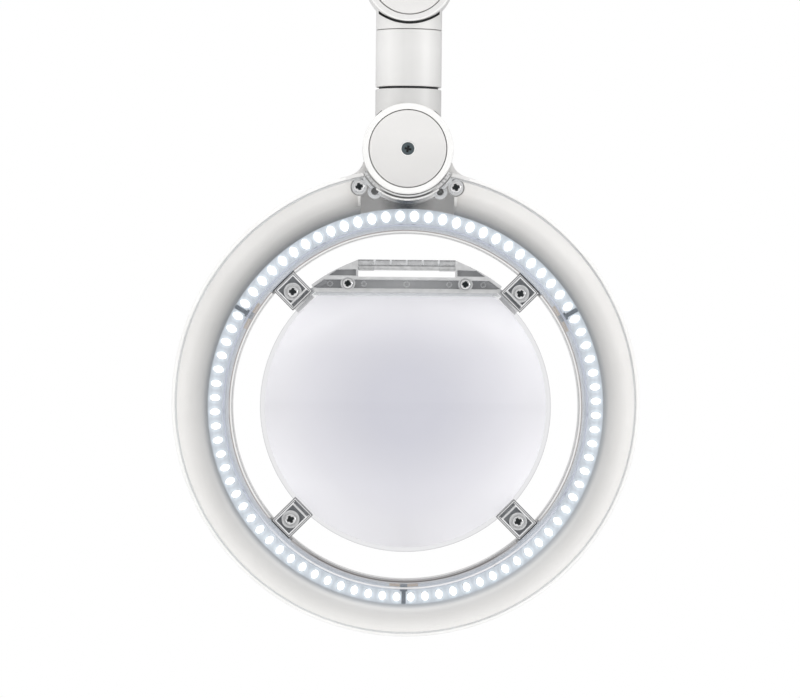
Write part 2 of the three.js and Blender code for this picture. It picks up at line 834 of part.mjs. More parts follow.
const ELBOW_X = -ARM_LENGTH * Math.cos(rad(UPPER_ARM_RISE));
const ELBOW_Z = WRIST_Z + ARM_LENGTH * Math.sin(rad(UPPER_ARM_RISE));
const lowerArm = new THREE.Group();
lowerArm.position.set(ELBOW_X, 0, ELBOW_Z);
lowerArm.rotation.y = rad(180 + LOWER_ARM_LEAN);
lamp.add(lowerArm);
piece("elbow_fork", fork(armStem()), housingWhite(), lowerArm);
knuckleHardware("elbow", lowerArm);
piece("lower_arm_tube", armTube(LOWER_ARM_LENGTH), armWhite(), lowerArm);
const shoulderTongue = piece("shoulder_tongue", tongue(armStem()), housingWhite(), lowerArm);
shoulderTongue.position.z = LOWER_ARM_LENGTH;
shoulderTongue.rotation.y = Math.PI;

// ---------------------------------------------------------------- post and desk clamp

const POST_X = ELBOW_X - LOWER_ARM_LENGTH * Math.sin(rad(LOWER_ARM_LEAN));
const POST_Z = ELBOW_Z - LOWER_ARM_LENGTH * Math.cos(rad(LOWER_ARM_LEAN));
const POST_REACH = 30;
const SPINDLE_REACH = POST_REACH + 36;
const post = new THREE.Group();
post.position.set(POST_X, 0, POST_Z);
post.rotation.y = Math.PI;
lamp.add(post);
piece(
  "shoulder_fork",
  fork(
    turnedZ(
      [
        [0, 0],
        [NECK_R, 0],
        [NECK_R, POST_REACH - 4],
        [16, POST_REACH - 2.4],
        [16, POST_REACH],
        [6.5, POST_REACH],
        [6.5, SPINDLE_REACH],
        [0, SPINDLE_REACH],
      ],
    ),
  ),
  housingWhite(),
  post,
);
knuckleHardware("shoulder", post);

// the clamp is built with its spindle on the Z axis
const clamp = new THREE.Group();
clamp.position.x = POST_X;
lamp.add(clamp);
const BOSS_TOP = POST_Z - POST_REACH - 1.4;
const BUSH_TOP = POST_Z - POST_REACH - GAP;
const BUSH_FOOT = POST_Z - SPINDLE_REACH - 1;
const SCREW_X = 6;
const clampFrame = [
  [-26, CLAMP_FOOT_Z],
  [20, CLAMP_FOOT_Z],
  [22, CLAMP_FOOT_Z + 3],
  [22, CLAMP_FOOT_Z + 14],
  [-14, CLAMP_FOOT_Z + 14],
  [-14, JAW_FACE_Z],
  [34, JAW_FACE_Z],
  [34, JAW_FACE_Z + 8],
  [22, JAW_FACE_Z + JAW_T],
  [-22, JAW_FACE_Z + JAW_T],
  [-28, JAW_FACE_Z + JAW_T - 6],
  [-28, CLAMP_FOOT_Z + 2],
];
piece(
  "clamp_body",
  cut(
    join(
      plate(clampFrame, -CLAMP_HALF_WIDTH, CLAMP_HALF_WIDTH),
      turnedZ([[0, -145], [17, -145], [15.2, -138], [15.2, BOSS_TOP], [0, BOSS_TOP]]),
    ),
    rodZ(9.3, BUSH_FOOT - GAP, 0),
    rodZ(5.3, CLAMP_FOOT_Z - 1, CLAMP_FOOT_Z + 15, 16).translate(SCREW_X, 0, 0),
  ),
  clampPaint(),
  clamp,
);
piece(
  "post_bush",
  turnedZ(
    [
      [6.8, BUSH_FOOT],
      [9, BUSH_FOOT],
      [9, BOSS_TOP + GAP],
      [14, BOSS_TOP + GAP],
      [14, BUSH_TOP],
      [6.8, BUSH_TOP],
    ],
    16,
  ),
  darkPlastic(),
  clamp,
);

// the screw ends in a ball that turns in the pad
const SCREW_FOOT = PAD_TOP_Z - 84;
piece(
  "clamp_screw",
  turnedZ(
    [
      [0, SCREW_FOOT],
      [5, SCREW_FOOT],
      [5, PAD_TOP_Z - 9],
      [3, PAD_TOP_Z - 8],
      [3, PAD_TOP_Z - 3],
      [0, PAD_TOP_Z - 3],
    ],
    SMALL,
  ).translate(SCREW_X, 0, 0),
  steel(),
  clamp,
);
piece(
  "clamp_pad",
  cut(
    turnedZ(
      [
        [0, PAD_TOP_Z - 7.5],
        [6, PAD_TOP_Z - 7.5],
        [13.5, PAD_TOP_Z - 3.5],
        [14, PAD_TOP_Z - 2.6],
        [14, PAD_TOP_Z],
        [0, PAD_TOP_Z],
      ],
    ),
    rodZ(3.3, PAD_TOP_Z - 9, PAD_TOP_Z - 2.7, SMALL),
  ),
  rubber(),
  clamp,
).position.x = SCREW_X;

// a knob with six finger hollows round its edge
const KNOB_R = 17;
const KNOB_TOP = SCREW_FOOT + 18;
const knobHollows = [0, 60, 120, 180, 240, 300].map((angle) =>
  rodZ(5, SCREW_FOOT - 5, KNOB_TOP + 5, 12).translate(
    21 * Math.cos(rad(angle)),
    21 * Math.sin(rad(angle)),
    0,
  ),
);
piece(
  "clamp_knob",
  cut(
    turnedZ(
      [
        [0, SCREW_FOOT - 3],
        [KNOB_R - 2, SCREW_FOOT - 3],
        [KNOB_R, SCREW_FOOT - 1],
        [KNOB_R, KNOB_TOP - 5],
        [KNOB_R - 2, KNOB_TOP - 3],
        [9, KNOB_TOP],
        [0, KNOB_TOP],
      ],
    ),
    ...knobHollows,
    rodZ(5.3, SCREW_FOOT - GAP, KNOB_TOP + 1, SMALL),
  ),
  darkPlastic(),
  clamp,
).position.x = SCREW_X;

lamp.position.set(-(POST_X + JAW_MIDDLE_X), 0, -JAW_FACE_Z);

export default lamp;
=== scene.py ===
import math

import bmesh
import bpy
from mathutils import Matrix, Vector


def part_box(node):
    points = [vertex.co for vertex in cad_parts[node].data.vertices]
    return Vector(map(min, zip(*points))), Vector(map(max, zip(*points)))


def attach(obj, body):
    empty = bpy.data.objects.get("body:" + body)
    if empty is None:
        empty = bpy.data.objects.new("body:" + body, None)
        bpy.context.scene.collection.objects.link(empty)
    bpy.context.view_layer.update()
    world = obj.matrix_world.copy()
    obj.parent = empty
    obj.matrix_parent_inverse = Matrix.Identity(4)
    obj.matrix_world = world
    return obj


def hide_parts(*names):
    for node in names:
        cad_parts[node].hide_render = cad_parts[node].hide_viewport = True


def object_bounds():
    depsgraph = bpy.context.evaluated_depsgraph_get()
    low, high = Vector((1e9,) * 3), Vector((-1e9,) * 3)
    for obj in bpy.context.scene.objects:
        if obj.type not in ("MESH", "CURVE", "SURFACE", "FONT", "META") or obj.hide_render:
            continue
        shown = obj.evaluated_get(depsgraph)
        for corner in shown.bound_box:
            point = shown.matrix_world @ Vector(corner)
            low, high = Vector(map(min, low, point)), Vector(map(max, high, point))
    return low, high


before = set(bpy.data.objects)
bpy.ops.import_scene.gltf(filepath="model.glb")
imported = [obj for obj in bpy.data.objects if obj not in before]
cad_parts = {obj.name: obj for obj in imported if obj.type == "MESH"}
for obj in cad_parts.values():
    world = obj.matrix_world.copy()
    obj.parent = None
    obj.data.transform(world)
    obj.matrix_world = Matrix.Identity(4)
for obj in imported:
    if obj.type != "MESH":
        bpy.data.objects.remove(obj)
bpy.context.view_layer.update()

MM = 0.001
LENS_R = 63.5
ROUND = 128  # facets round a knuckle or a tube
FINE = 256  # facets round the ring and the lens

# ---------------------------------------------------------------- places, read from the frame
# Every shape is drawn in millimetres from the lens centre, and its object is put there.


def lens_centre():
    """The middle of the lens's circle, which its straight top edge cuts short, in metres."""
    low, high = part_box("magnifier_lens")
    return Vector(((low.x + high.x) / 2, (low.y + high.y) / 2, low.z)) + Vector((0, 0, LENS_R * MM))


HOME = lens_centre()


def extent(node):
    """A node's corners in millimetres from the lens centre."""
    low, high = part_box(node)
    return (low - HOME) / MM, (high - HOME) / MM


def centre(node):
    low, high = extent(node)
    return (low + high) / 2


def pivot(name):
    """The middle of a knuckle, between its two caps, in millimetres."""
    return (centre(name + "_cap_front") + centre(name + "_cap_rear")) / 2


def xz(point):
    return point.x, point.z


def apart(p, q):
    """The distance between two points as the front view shows it."""
    return math.hypot(p.x - q.x, p.z - q.z)


SWIVEL = pivot("swivel")
WRIST = pivot("wrist")
ELBOW = pivot("elbow")
SHOULDER = pivot("shoulder")
CLAMP_X = centre("post_bush").x
SCREW_X = centre("clamp_pad").x
PAD_TOP = extent("clamp_pad")[1].z

# ---------------------------------------------------------------- mesh kit, in millimetres


def added(name, data):
    """A new object in the scene."""
    obj = bpy.data.objects.new(name, data)
    bpy.context.scene.collection.objects.link(obj)
    return obj


def discard(obj):
    mesh = obj.data
    bpy.data.objects.remove(obj)
    bpy.data.meshes.remove(mesh)


def new_object(name, verts, faces):
    """A mesh object from points in millimetres, with doubles joined and its faces turned out."""
    mesh = bpy.data.meshes.new(name)
    mesh.from_pydata([(x * MM, y * MM, z * MM) for x, y, z in verts], [], faces)
    bm = bmesh.new()
    bm.from_mesh(mesh)
    bmesh.ops.remove_doubles(bm, verts=bm.verts, dist=1e-7)
    bmesh.ops.recalc_face_normals(bm, faces=bm.faces)
    bm.to_mesh(mesh)
    bm.free()
    return added(name, mesh)


def lathe(profile, segments=ROUND, axis="Y", shape=None):
    """A profile of (radius, height) turned about Y or Z. One off the axis closes on itself."""
    verts, rows = [], []
    for r, h in profile:
        if r < 1e-9:
            rows.append([len(verts)] * segments)
            verts.append((0, h, 0) if axis == "Y" else (0, 0, h))
            continue
        rows.append(list(range(len(verts), len(verts) + segments)))
        for i in range(segments):
            a = 2 * math.pi * i / segments
            s, c = r * math.sin(a), r * math.cos(a)
            verts.append((s, h, c) if axis == "Y" else (s, c, h))
    if shape:
        verts = [shape(v) for v in verts]
    pairs = list(zip(rows, rows[1:]))
    if profile[0][0] > 1e-9:
        pairs.append((rows[-1], rows[0]))
    faces = []
    for a, b in pairs:
        for i in range(segments):
            j = (i + 1) % segments
            face = list(dict.fromkeys((a[i], a[j], b[j], b[i])))
            if len(face) > 2:
                faces.append(face)
    return new_object("lathe", verts, faces)


def prism(outline, y0, y1):
    """An outline of (x, z) points made solid between two Y levels."""
    n = len(outline)
    verts = [(x, y0, z) for x, z in outline] + [(x, y1, z) for x, z in outline]
    faces = [list(range(n)), list(range(2 * n - 1, n - 1, -1))]
    faces += [[i, (i + 1) % n, n + (i + 1) % n, n + i] for i in range(n)]
    return new_object("prism", verts, faces)


def block(x0, x1, y0, y1, z0, z1):
    return prism([(x0, z0), (x1, z0), (x1, z1), (x0, z1)], y0, y1)


def disc(r, y0, y1, x=0.0, z=0.0, segments=96):
    obj = lathe([(0, y0), (r, y0), (r, y1), (0, y1)], segments)
    return move(obj, (x, 0, z))


def discs(r, y0, y1, places, segments=48):
    return [disc(r, y0, y1, x, z, segments) for x, z in places]


def both(outline, y0, y1):
    """A prism and its mirror image on the other side of X = 0."""
    return [prism(outline, y0, y1), prism([(-x, z) for x, z in outline], y0, y1)]


def both_blocks(x0, x1, y0, y1, z0, z1):
    return [block(x0, x1, y0, y1, z0, z1), block(-x1, -x0, y0, y1, z0, z1)]


def rod_z(r, z0, z1, segments=96):
    return lathe([(0, z0), (r, z0), (r, z1), (0, z1)], segments, axis="Z")


def rod_x(r, x0, x1, y, z, segments=48):
    obj = lathe([(0, x0), (r, x0), (r, x1), (0, x1)], segments)
    obj.data.transform(Matrix.Rotation(math.radians(-90), 4, "Z"))
    return move(obj, (0, y, z))


def move(obj, offset):
    obj.data.transform(Matrix.Translation(Vector(offset) * MM))
    return obj


def turn_y(obj, degrees):
    """Turned about Y the way the hands go from +Z to +X."""
    obj.data.transform(Matrix.Rotation(math.radians(degrees), 4, "Y"))
    return obj


def boolean(body, tools, operation):
    """The body after the tools are added to it, cut from it or met with it. They are used up."""
    for tool in tools:
        mod = body.modifiers.new("cut", "BOOLEAN")
        mod.operation = operation
        mod.solver = "MANIFOLD"
        mod.object = tool
    graph = bpy.context.evaluated_depsgraph_get()
    made = bpy.data.meshes.new_from_object(body.evaluated_get(graph))
    body.modifiers.clear()
    old, body.data = body.data, made
    bpy.data.meshes.remove(old)
    for tool in tools:
        discard(tool)
    return body


def cut(body, *tools):
    return boolean(body, tools, "DIFFERENCE")


def join(body, *tools):
    return boolean(body, tools, "UNION")


def common(body, tool):
    return boolean(body, [tool], "INTERSECT")


def merge(name, objects):
    """Several closed shapes as one mesh, with no boolean."""
    bm = bmesh.new()
    for obj in objects:
        bm.from_mesh(obj.data)
        discard(obj)
    mesh = bpy.data.meshes.new(name)
    bm.to_mesh(mesh)
    bm.free()
    return added(name, mesh)


def show(obj, name, body, look, nodes=(), angle=32, zones=()):
    """Names a finished piece, gives it its materials and rides it on its body.

    zones are (material, test) pairs: a face whose middle passes the test gets that material.
    """
    obj.name = name
    obj.data.name = name
    obj.data.materials.clear()
    obj.data.materials.append(look)
    for number, (other, test) in enumerate(zones, 1):
        obj.data.materials.append(other)
        for face in obj.data.polygons:
            if test(face.center / MM, face.normal):
                face.material_index = number
    obj.location = HOME
    obj.data.shade_smooth()
    obj.data.set_sharp_from_angle(angle=math.radians(angle))
    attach(obj, body)
    if nodes:
        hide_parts(*nodes)
    return obj


def polar(radius, degrees):
    """A point (x, z) at an angle from straight up, the way a clock's hands go."""
    a = math.radians(degrees)
    return radius * math.sin(a), radius * math.cos(a)


def arc(cx, cy, r, start, end, steps):
    """Points of an arc, angles in degrees from +first axis towards +second axis."""
    points = []
    for i in range(steps + 1):
        a = math.radians(start + (end - start) * i / steps)
        points.append((cx + r * math.cos(a), cy + r * math.sin(a)))
    return points


def curve(p0, p1, p2, p3, steps):
    """Points of a cubic curve, ends included."""
    points = []
    for i in range(steps + 1):
        t = i / steps
        k = ((1 - t) ** 3, 3 * t * (1 - t) ** 2, 3 * t * t * (1 - t), t**3)
        points.append(
            tuple(k[0] * p0[j] + k[1] * p1[j] + k[2] * p2[j] + k[3] * p3[j] for j in (0, 1))
        )
    return points


# ---------------------------------------------------------------- dimensions, in millimetres

LENS_SURFACE_R = 350.0
LENS_CHORD_Z = extent("magnifier_lens")[1].z
RING_OUTER_R = 101.6
RING_INNER_R = 75.6
RING_BACK_Y = 13
COVE_OUTER_R = 99.4
COVE_INNER_R = 87.4
RING_LIFT = 1.8
HUB_CUT_R = 22.2
LED_CIRCLE_R = 83.0
LED_COUNT = 84
LED_PITCH = 360 / LED_COUNT
BOARD_FACE_Y = -4.9
CLEAR_FACE_Y = -8.0  # the front of the clips and the bracket
CLIP_FLOOR_Y = -4.7
CLIP_SCREW_R = 70.1
CLIP_OUTER_R = 76.5
CLIP_ANGLES = {"upper_left": -45, "upper_right": 45, "lower_left": -135, "lower_right": 135}
CLIP_REACH = {
    "upper_left": (64.2, -5.7, 6.45),
    "upper_right": (64.2, -6.45, 5.7),
    "lower_left": (61.9, -5.5, 5.5),
    "lower_right": (61.9, -5.5, 5.5),
}
CLIP_SCREWS = {side: polar(CLIP_SCREW_R, angle) for side, angle in CLIP_ANGLES.items()}
SIDES = ("left", "right")
COVER_SCREWS = {side: xz(centre("cover_screw_" + side)) for side in SIDES}
BRACKET_SCREWS = {side: xz(centre("bracket_screw_" + side)) for side in SIDES}
COVER_PEGS = [(-14.2, 93.5), (14.2, 93.5)]
LID_PIN = centre("lid_hinge_pin")
BUTTON = centre("power_button")
CHEEK_R = 19.8  # a knuckle's round cheeks
EYE_R = 19.9  # the round eye between them
EYE_HALF = 8.5
EYE_SEAT_R = 20.4  # how far the parts round an eye keep clear of it
SADDLE_SEAT_R = 20.95  # and how far the saddle at the wrist does
SADDLE_FLANK = 5.5
NECK_R = 14.4
NECK_BORE_R = 13.2
GAP_DROP = 1.0  # how far the neck's dark gap sits below the edges of its nodes
TUBE_END = 36.3  # where an arm's tube starts, from its knuckle

# ---------------------------------------------------------------- materials


class Signal:
    """One output of a node graph, which can be reckoned with like a number."""

    def __init__(self, graph, socket):
        self.graph = graph
        self.socket = socket

    def __rsub__(self, other):
        return self.graph.math("SUBTRACT", other, self)


def operation(kind):
    return lambda a, b=0.0: a.graph.math(kind, a, b)


for method, kind in (
    ("__add__", "ADD"),
    ("__sub__", "SUBTRACT"),
    ("__mul__", "MULTIPLY"),
    ("__truediv__", "DIVIDE"),
    ("__pow__", "POWER"),
    ("__gt__", "GREATER_THAN"),
    ("__lt__", "LESS_THAN"),
    ("__abs__", "ABSOLUTE"),
    ("at_least", "MAXIMUM"),
    ("at_most", "MINIMUM"),
    ("root", "SQRT"),
):
    setattr(Signal, method, operation(kind))


def hypot(a, b):
    """The length of the long side of a right triangle, of signals."""
    return (a * a + b * b).root()


class Graph:
    """The node graph of a material or a world, with short names for what it needs."""

    def __init__(self, owner, out="OutputMaterial"):
        owner.use_nodes = True
        self.owner = owner
        self.tree = owner.node_tree
        self.tree.nodes.clear()
        self.out = self.add(out)

    def add(self, kind, **values):
        """A new node, given its settings and its inputs by name."""
        node = self.tree.nodes.new("ShaderNode" + kind)
        for key, value in values.items():
            if hasattr(node, key):
                setattr(node, key, value)
            else:
                self.feed(node.inputs[key.replace("_", " ")], value)
        return node

    def feed(self, socket, value):
        """Gives an input a number, a color or a signal."""
        if isinstance(value, Signal):
            self.tree.links.new(value.socket, socket)
        elif isinstance(value, tuple):
            socket.default_value = (*value, 1)
        else:
            socket.default_value = value

    def get(self, kind, output, **values):
        """One output of a new node."""
        return Signal(self, self.add(kind, **values).outputs[output])

    def wire(self, node, numbers, values, output=0):
        """Feeds the inputs of a node by number, where names don't tell them apart."""
        for number, value in zip(numbers, values):
            self.feed(node.inputs[number], value)
        return Signal(self, node.outputs[output])

    def math(self, operation, a, b=0.0, clamp=False):
        return self.wire(self.add("Math", operation=operation, use_clamp=clamp), (0, 1), (a, b))

    def mix(self, fac, a, b, blend="MIX"):
        return self.wire(self.add("Mix", data_type="RGBA", blend_type=blend), (0, 6, 7), (fac, a, b), 2)

    def tinted(self, a, b):
        """One color times another."""
        return self.mix(1.0, a, b, "MULTIPLY")

    def between(self, fac, a, b):
        """One shader where fac is 0 and the other where it is 1."""
        return self.wire(self.add("MixShader"), (0, 1, 2), (fac, a, b))

    def ramp(self, value, stops):
        """A color for a value of 0 to 1. A stop's color may be one number, for a grey."""
        node = self.add("ValToRGB", Fac=value)
        elements = node.color_ramp.elements
        while len(elements) < len(stops):
            elements.new(0.5)
        for element, (at, color) in zip(elements, stops):
            element.position = at
            element.color = (*color, 1) if isinstance(color, tuple) else (color, color, color, 1)
        return Signal(self, node.outputs["Color"])

    def axes(self, space="Object"):
        """Three coordinates. In object space they are metres from the lens centre."""
        split = self.add("SeparateXYZ", Vector=self.get("TexCoord", space))
        return [Signal(self, output) for output in split.outputs]

    def radius(self):
        """Distance from the lens axis, in metres."""
        x, _, z = self.axes()
        return hypot(x, z)

    def spread(self, value, low, high):
        """value mapped from low..high to 0..1."""
        return self.get("MapRange", "Result", clamp=True, Value=value, From_Min=low, From_Max=high)

    def noise(self, scale, detail):
        place = self.get("TexCoord", "Object")
        return self.get("TexNoise", "Fac", Vector=place, Scale=scale, Detail=detail, Roughness=0.55)

    def clouded(self, darker, lighter):
        """A color that drifts between two, in patches a few centimetres wide."""
        return self.ramp(self.noise(38.0, 4.0), [(0.3, darker), (0.7, lighter)])

    def rounded(self, radius):
        """A normal that rounds the edges off, over a radius in millimetres."""
        return self.get("Bevel", "Normal", samples=4, Radius=radius * MM)

    def bump(self, height, strength, distance, normal=None):
        under = {"Normal": normal} if normal else {}
        depth = distance * MM
        return self.get("Bump", "Normal", Height=height, Strength=strength, Distance=depth, **under)

    def moulded(self, grain=0.02, edge=0.25):
        """The normal of moulded plastic: a fine spark texture and rounded edges."""
        return self.bump(self.noise(5200.0, 2.0), 0.35, grain, self.rounded(edge))

    def edges(self, normal):
        """1 where a rounded normal turns away from the face's own, and 0 on the flat."""
        node = self.add("VectorMath", operation="DOT_PRODUCT")
        agree = self.wire(node, (0, 1), (normal, self.get("NewGeometry", "Normal")), "Value")
        return self.ramp(self.math("SUBTRACT", 1.0, agree, clamp=True), [(0.02, 0), (0.14, 1)])

    def ray(self, kind):
        """1 for a ray of that kind: Camera, Shadow, Diffuse or Transmission."""
        return self.get("LightPath", "Is " + kind + " Ray")

    def facing(self, blend):
        return self.get("LayerWeight", "Facing", Blend=blend)

    def transparent(self, color):
        return self.get("BsdfTransparent", "BSDF", Color=color)

    def principled(self, **values):
        return self.get("BsdfPrincipled", "BSDF", **values)

    def done(self, shader):
        self.feed(self.out.inputs["Surface"], shader)
        return self.owner

    def self_lit(self, base, roughness, normal, strength):
        """The material of a surface that adds a little light of its own color."""
        painted_glow = {"Emission_Color": base, "Emission_Strength": strength}
        return self.done(self.principled(Base_Color=base, Roughness=roughness, Normal=normal, **painted_glow))


def surface(name):
    return Graph(bpy.data.materials.new(name))


def plastic(name, color, roughness, edge=0.25, grain=0.02, spots=0.02):
    """Moulded plastic: fine spark texture, a little unevenness of colour, rounded edges."""
    g = surface(name)
    darker = tuple(c * (1 - 2.2 * spots) for c in color)
    lighter = tuple(min(1.0, c * (1 + spots)) for c in color)
    base = g.clouded(darker, lighter)
    rough = g.ramp(g.noise(900.0, 2.0), [(0.2, roughness - 0.05), (0.8, roughness + 0.06)])
    return g.done(g.principled(Base_Color=base, Roughness=rough, Normal=g.moulded(grain, edge)))


def dark(name, color, roughness, grain=0.04):
    return plastic(name, color, roughness, 0.2, grain, 0.12)


def neck_material():
    """The neck's plastic, with painted shade darker on each side of the joint it turns on, and painted
    light and shade across the tube.
    """
    g = surface("neck_white")
    x, _, z = g.axes()
    # painted shade along the neck, darkest just below the joint and a little darker above it
    shade_along = [(0.0, 0.99), (0.10, 0.86), (0.295, 0.83), (0.305, 0.93), (0.42, 0.96), (0.60, 1.0)]
    shade_along += [(0.80, 0.97), (1.0, 0.96)]
    # painted light and shade across the tube: lighter on the left, darker in the middle, a highlight right
    # of it, darker at the right edge
    across = [(0.0, 1.1), (0.2, 1.14), (0.42, 0.96), (0.55, 0.95), (0.8, 1.08), (1.0, 0.88)]
    base = g.clouded((0.77, 0.763, 0.75), (0.81, 0.803, 0.79))
    base = g.tinted(base, g.ramp(g.spread(z, 0.12, 0.18), shade_along))
    base = g.tinted(base, g.ramp(g.spread(x, -NECK_R * MM, NECK_R * MM), across))
    return g.done(g.principled(Base_Color=base, Roughness=0.36, Normal=g.moulded()))


def cap_material():
    """The caps' smooth plastic, with painted shade darker low down on the head's knuckle."""
    g = surface("white_cap")
    _, _, z = g.axes()
    # painted shade, darker low down
    fade = g.ramp(g.spread(z, 0.094, 0.128), [(0.0, 0.86), (0.35, 0.94), (0.7, 1.0)])
    base = g.tinted(g.clouded((0.78, 0.77, 0.757), (0.825, 0.815, 0.80)), fade)
    return g.done(g.principled(Base_Color=base, Roughness=0.46, Normal=g.moulded()))


def metal(name, color, roughness):
    """Plated steel with faint turning marks."""
    g = surface(name)
    streak = g.noise(2600.0, 2.0)
    base = g.ramp(streak, [(0.2, tuple(c * 0.86 for c in color)), (0.8, color)])
    rough = g.ramp(streak, [(0.2, roughness * 0.7), (0.8, roughness * 1.3)])
    normal = g.bump(streak, 0.2, 0.01, g.rounded(0.1))
    return g.done(g.principled(Base_Color=base, Roughness=rough, Metallic=1.0, Normal=normal))


def cove_material():
    """The reflector, with painted shade: bluish grey where it sinks behind the boards, near white at the
    rim.

    Places in the materials are in metres from the lens centre, as the object's coordinates are.
    """
    g = surface("white_cove")
    x, _, z = g.axes()
    outward = g.spread(g.radius(), 0.0860, 0.1005)
    stops = [
        (0.0, (0.33, 0.355, 0.385)),
        (0.09, (0.40, 0.41, 0.42)),
        (0.18, (0.57, 0.563, 0.555)),
        (0.45, (0.755, 0.74, 0.72)),
        (0.75, (0.935, 0.915, 0.89)),
        (1.0, (0.97, 0.95, 0.925)),
    ]
    base = g.tinted(g.ramp(outward, stops), g.ramp(g.noise(60.0, 3.0), [(0.3, 0.97), (0.7, 1.0)]))
    # it is deeper in shade at the top of the ring than at the bottom, and a little on the left
    upward = z / g.radius()
    upward = upward + abs(upward) * 0.3
    shade = g.ramp(outward, [(0.0, 0.34), (0.2, 0.31), (0.43, 0.08), (0.7, 0.0), (1.0, 0.02)])
    leftward = (x * -1.0).at_least(0.0) * 0.65
    # the boards' light levels it off at the bottom, and the upper left is a little darker
    stops = [(0.16, 0.35), (0.21, 0.26), (0.29, 0.10), (0.45, 0.12), (0.6, 0.15), (0.8, 0.17), (1.0, 0.2)]
    level = g.ramp(outward, stops) - 0.2
    down = (upward * -1.4).at_least(0.0)
    corner = x.at_most(0.0) * z.at_least(0.0)
    lit = 1.0 - upward * shade - leftward + (level * down + corner * 14.0)
    base = g.tinted(g.tinted(base, lit), (1.0, 0.987, 0.972))
    # painted glow, as if the diodes lit the reflector, a little stronger at the rim
    painted_glow = g.ramp(outward, [(0.0, 0.14), (0.5, 0.14), (1.0, 0.21)])
    return g.self_lit(base, 0.55, g.bump(g.noise(3000.0, 2.0), 0.3, 0.02), painted_glow)


def pocket_material():
    """The mottled grey floor behind the clear cover, under the knuckle, with painted shadow darkest at the
    middle and a faint painted glow.
    """
    g = surface("hub_pocket_shade")
    x, _, z = g.axes()
    away = hypot((x + 0.0005) * 160.0, (z - 0.0885) * 210.0)
    wander = (g.noise(240.0, 4.0) - 0.5) * 0.9
    stops = [
        (0.0, (0.025, 0.036, 0.052)),
        (0.2, (0.08, 0.09, 0.105)),
        (0.45, 0.25),
        (0.75, (0.43, 0.42, 0.415)),
        (1.0, (0.57, 0.56, 0.55)),
    ]
    base = g.ramp(g.spread(away + wander, 0.0, 2.0), stops)
    return g.self_lit(base, 0.5, g.bump(g.noise(900.0, 3.0), 0.4, 0.05), 0.2)


def groove_material():
    """The slot round the underside of the knuckle: one dark line of painted shadow, deepest straight down,
    and a faint painted glow.
    """
    g = surface("hub_groove_shade")
    x, _, z = g.axes()
    away = g.spread(hypot(x, z - SWIVEL.z * MM), 0.0199, 0.0217)
    shade_line = g.ramp(away, [(0.0, 0.9), (0.45, 0.75), (0.6, 0.08), (0.85, 0.05), (1.0, 0.5)])
    mottle = g.ramp(g.noise(1100.0, 3.0), [(0.35, 0.34), (0.65, 0.68)])
    base = g.mix(g.spread(abs(x), 0.0095, 0.0125), shade_line, mottle)
    return g.self_lit(base, 0.4, g.bump(g.noise(900.0, 3.0), 0.4, 0.05), 0.12)


def cover_material():
    """Thin clear sheet: see-through face on, grey and glossy at a slant."""
    g = surface("clear_cover")
    _, _, z = g.axes()
    # the moulded rim round the opening: a pale lip and two fine lines, with painted shade where it faces
    # down
    across = g.spread(g.radius(), 0.0755, 0.0800)
    stops = [(0.0, 0.9), (0.24, 0.85), (0.31, 0.25), (0.62, 0.12), (0.70, 0.5), (0.78, 0.5)]
    stops += [(0.86, 0.25), (0.95, 0.0)]
    rim = g.ramp(across, stops)
    aside = [
        (0.0, (0.55, 0.53, 0.52)),
        (0.05, (0.93, 0.925, 0.92)),
        (0.16, (0.93, 0.925, 0.92)),
        (0.20, (0.32, 0.29, 0.28)),
        (0.25, (0.34, 0.31, 0.30)),
        (0.31, (0.82, 0.82, 0.83)),
        (0.62, (0.75, 0.77, 0.80)),
        (0.72, (0.50, 0.53, 0.63)),
        (0.90, (0.6, 0.63, 0.7)),
    ]
    # painted shade: the rim's colours where it faces down
    under = [
        (0.0, (0.50, 0.48, 0.47)),
        (0.10, (0.15, 0.14, 0.14)),
        (0.17, (0.17, 0.16, 0.16)),
        (0.24, (0.55, 0.55, 0.57)),
        (0.62, (0.62, 0.64, 0.68)),
        (0.68, (0.98, 0.96, 0.95)),
        (0.78, (0.98, 0.96, 0.95)),
        (0.86, (0.45, 0.48, 0.55)),
    ]
    lines = g.mix(g.spread(z, -0.040, -0.066), g.ramp(across, aside), g.ramp(across, under))
    tint = g.mix(across < 0.96, (0.88, 0.885, 0.89), lines)
    normal = g.bump(g.noise(400.0, 2.0), 0.15, 0.02, g.rounded(0.3))
    body = g.principled(Base_Color=tint, Roughness=0.08, Normal=normal, Specular_IOR_Level=0.6)
    fac = (g.facing(0.25) ** 2.2 * 0.6 + 0.035).at_least(rim) * (1.0 - g.ray("Shadow"))
    return g.done(g.between(fac, g.transparent((0.975, 0.98, 0.985)), body))


def clip_border(angle, inner, t0, t1):
    """Fine lines inside the border of the clip at an angle round the ring, painted light and shade of its
    clear edges.
    """
    sine, cosine = polar(1 / MM, angle)

    def paint(g, tint):
        x, y, z = g.axes()
        out = x * sine + z * cosine
        along = x * cosine - z * sine
        ends = (out - inner).at_most(CLIP_OUTER_R - out)
        sides = (along - t0).at_most(t1 - along)
        inside = ends.at_most(sides)
        lines = [
            (0.0, (0.10, 0.10, 0.105)),
            (0.16, (0.16, 0.16, 0.165)),
            (0.24, 0.72),
            (0.42, (0.70, 0.70, 0.705)),
            (0.48, (0.16, 0.16, 0.165)),
            (0.58, (0.20, 0.20, 0.205)),
            (0.66, (0.99, 0.99, 0.995)),
            (0.97, (0.99, 0.99, 0.995)),
        ]
        border = g.ramp(inside * 0.58, lines)
        # the end against the ring is the darkest line, a painted shadow of the gap there, and the border
        # is 1.68 mm wide
        border = g.mix(out > CLIP_OUTER_R - 0.55, border, (0.02, 0.02, 0.022))
        here = (inside < 1.68) * (y < -0.0073)
        return g.mix(here, tint, border)

    return paint


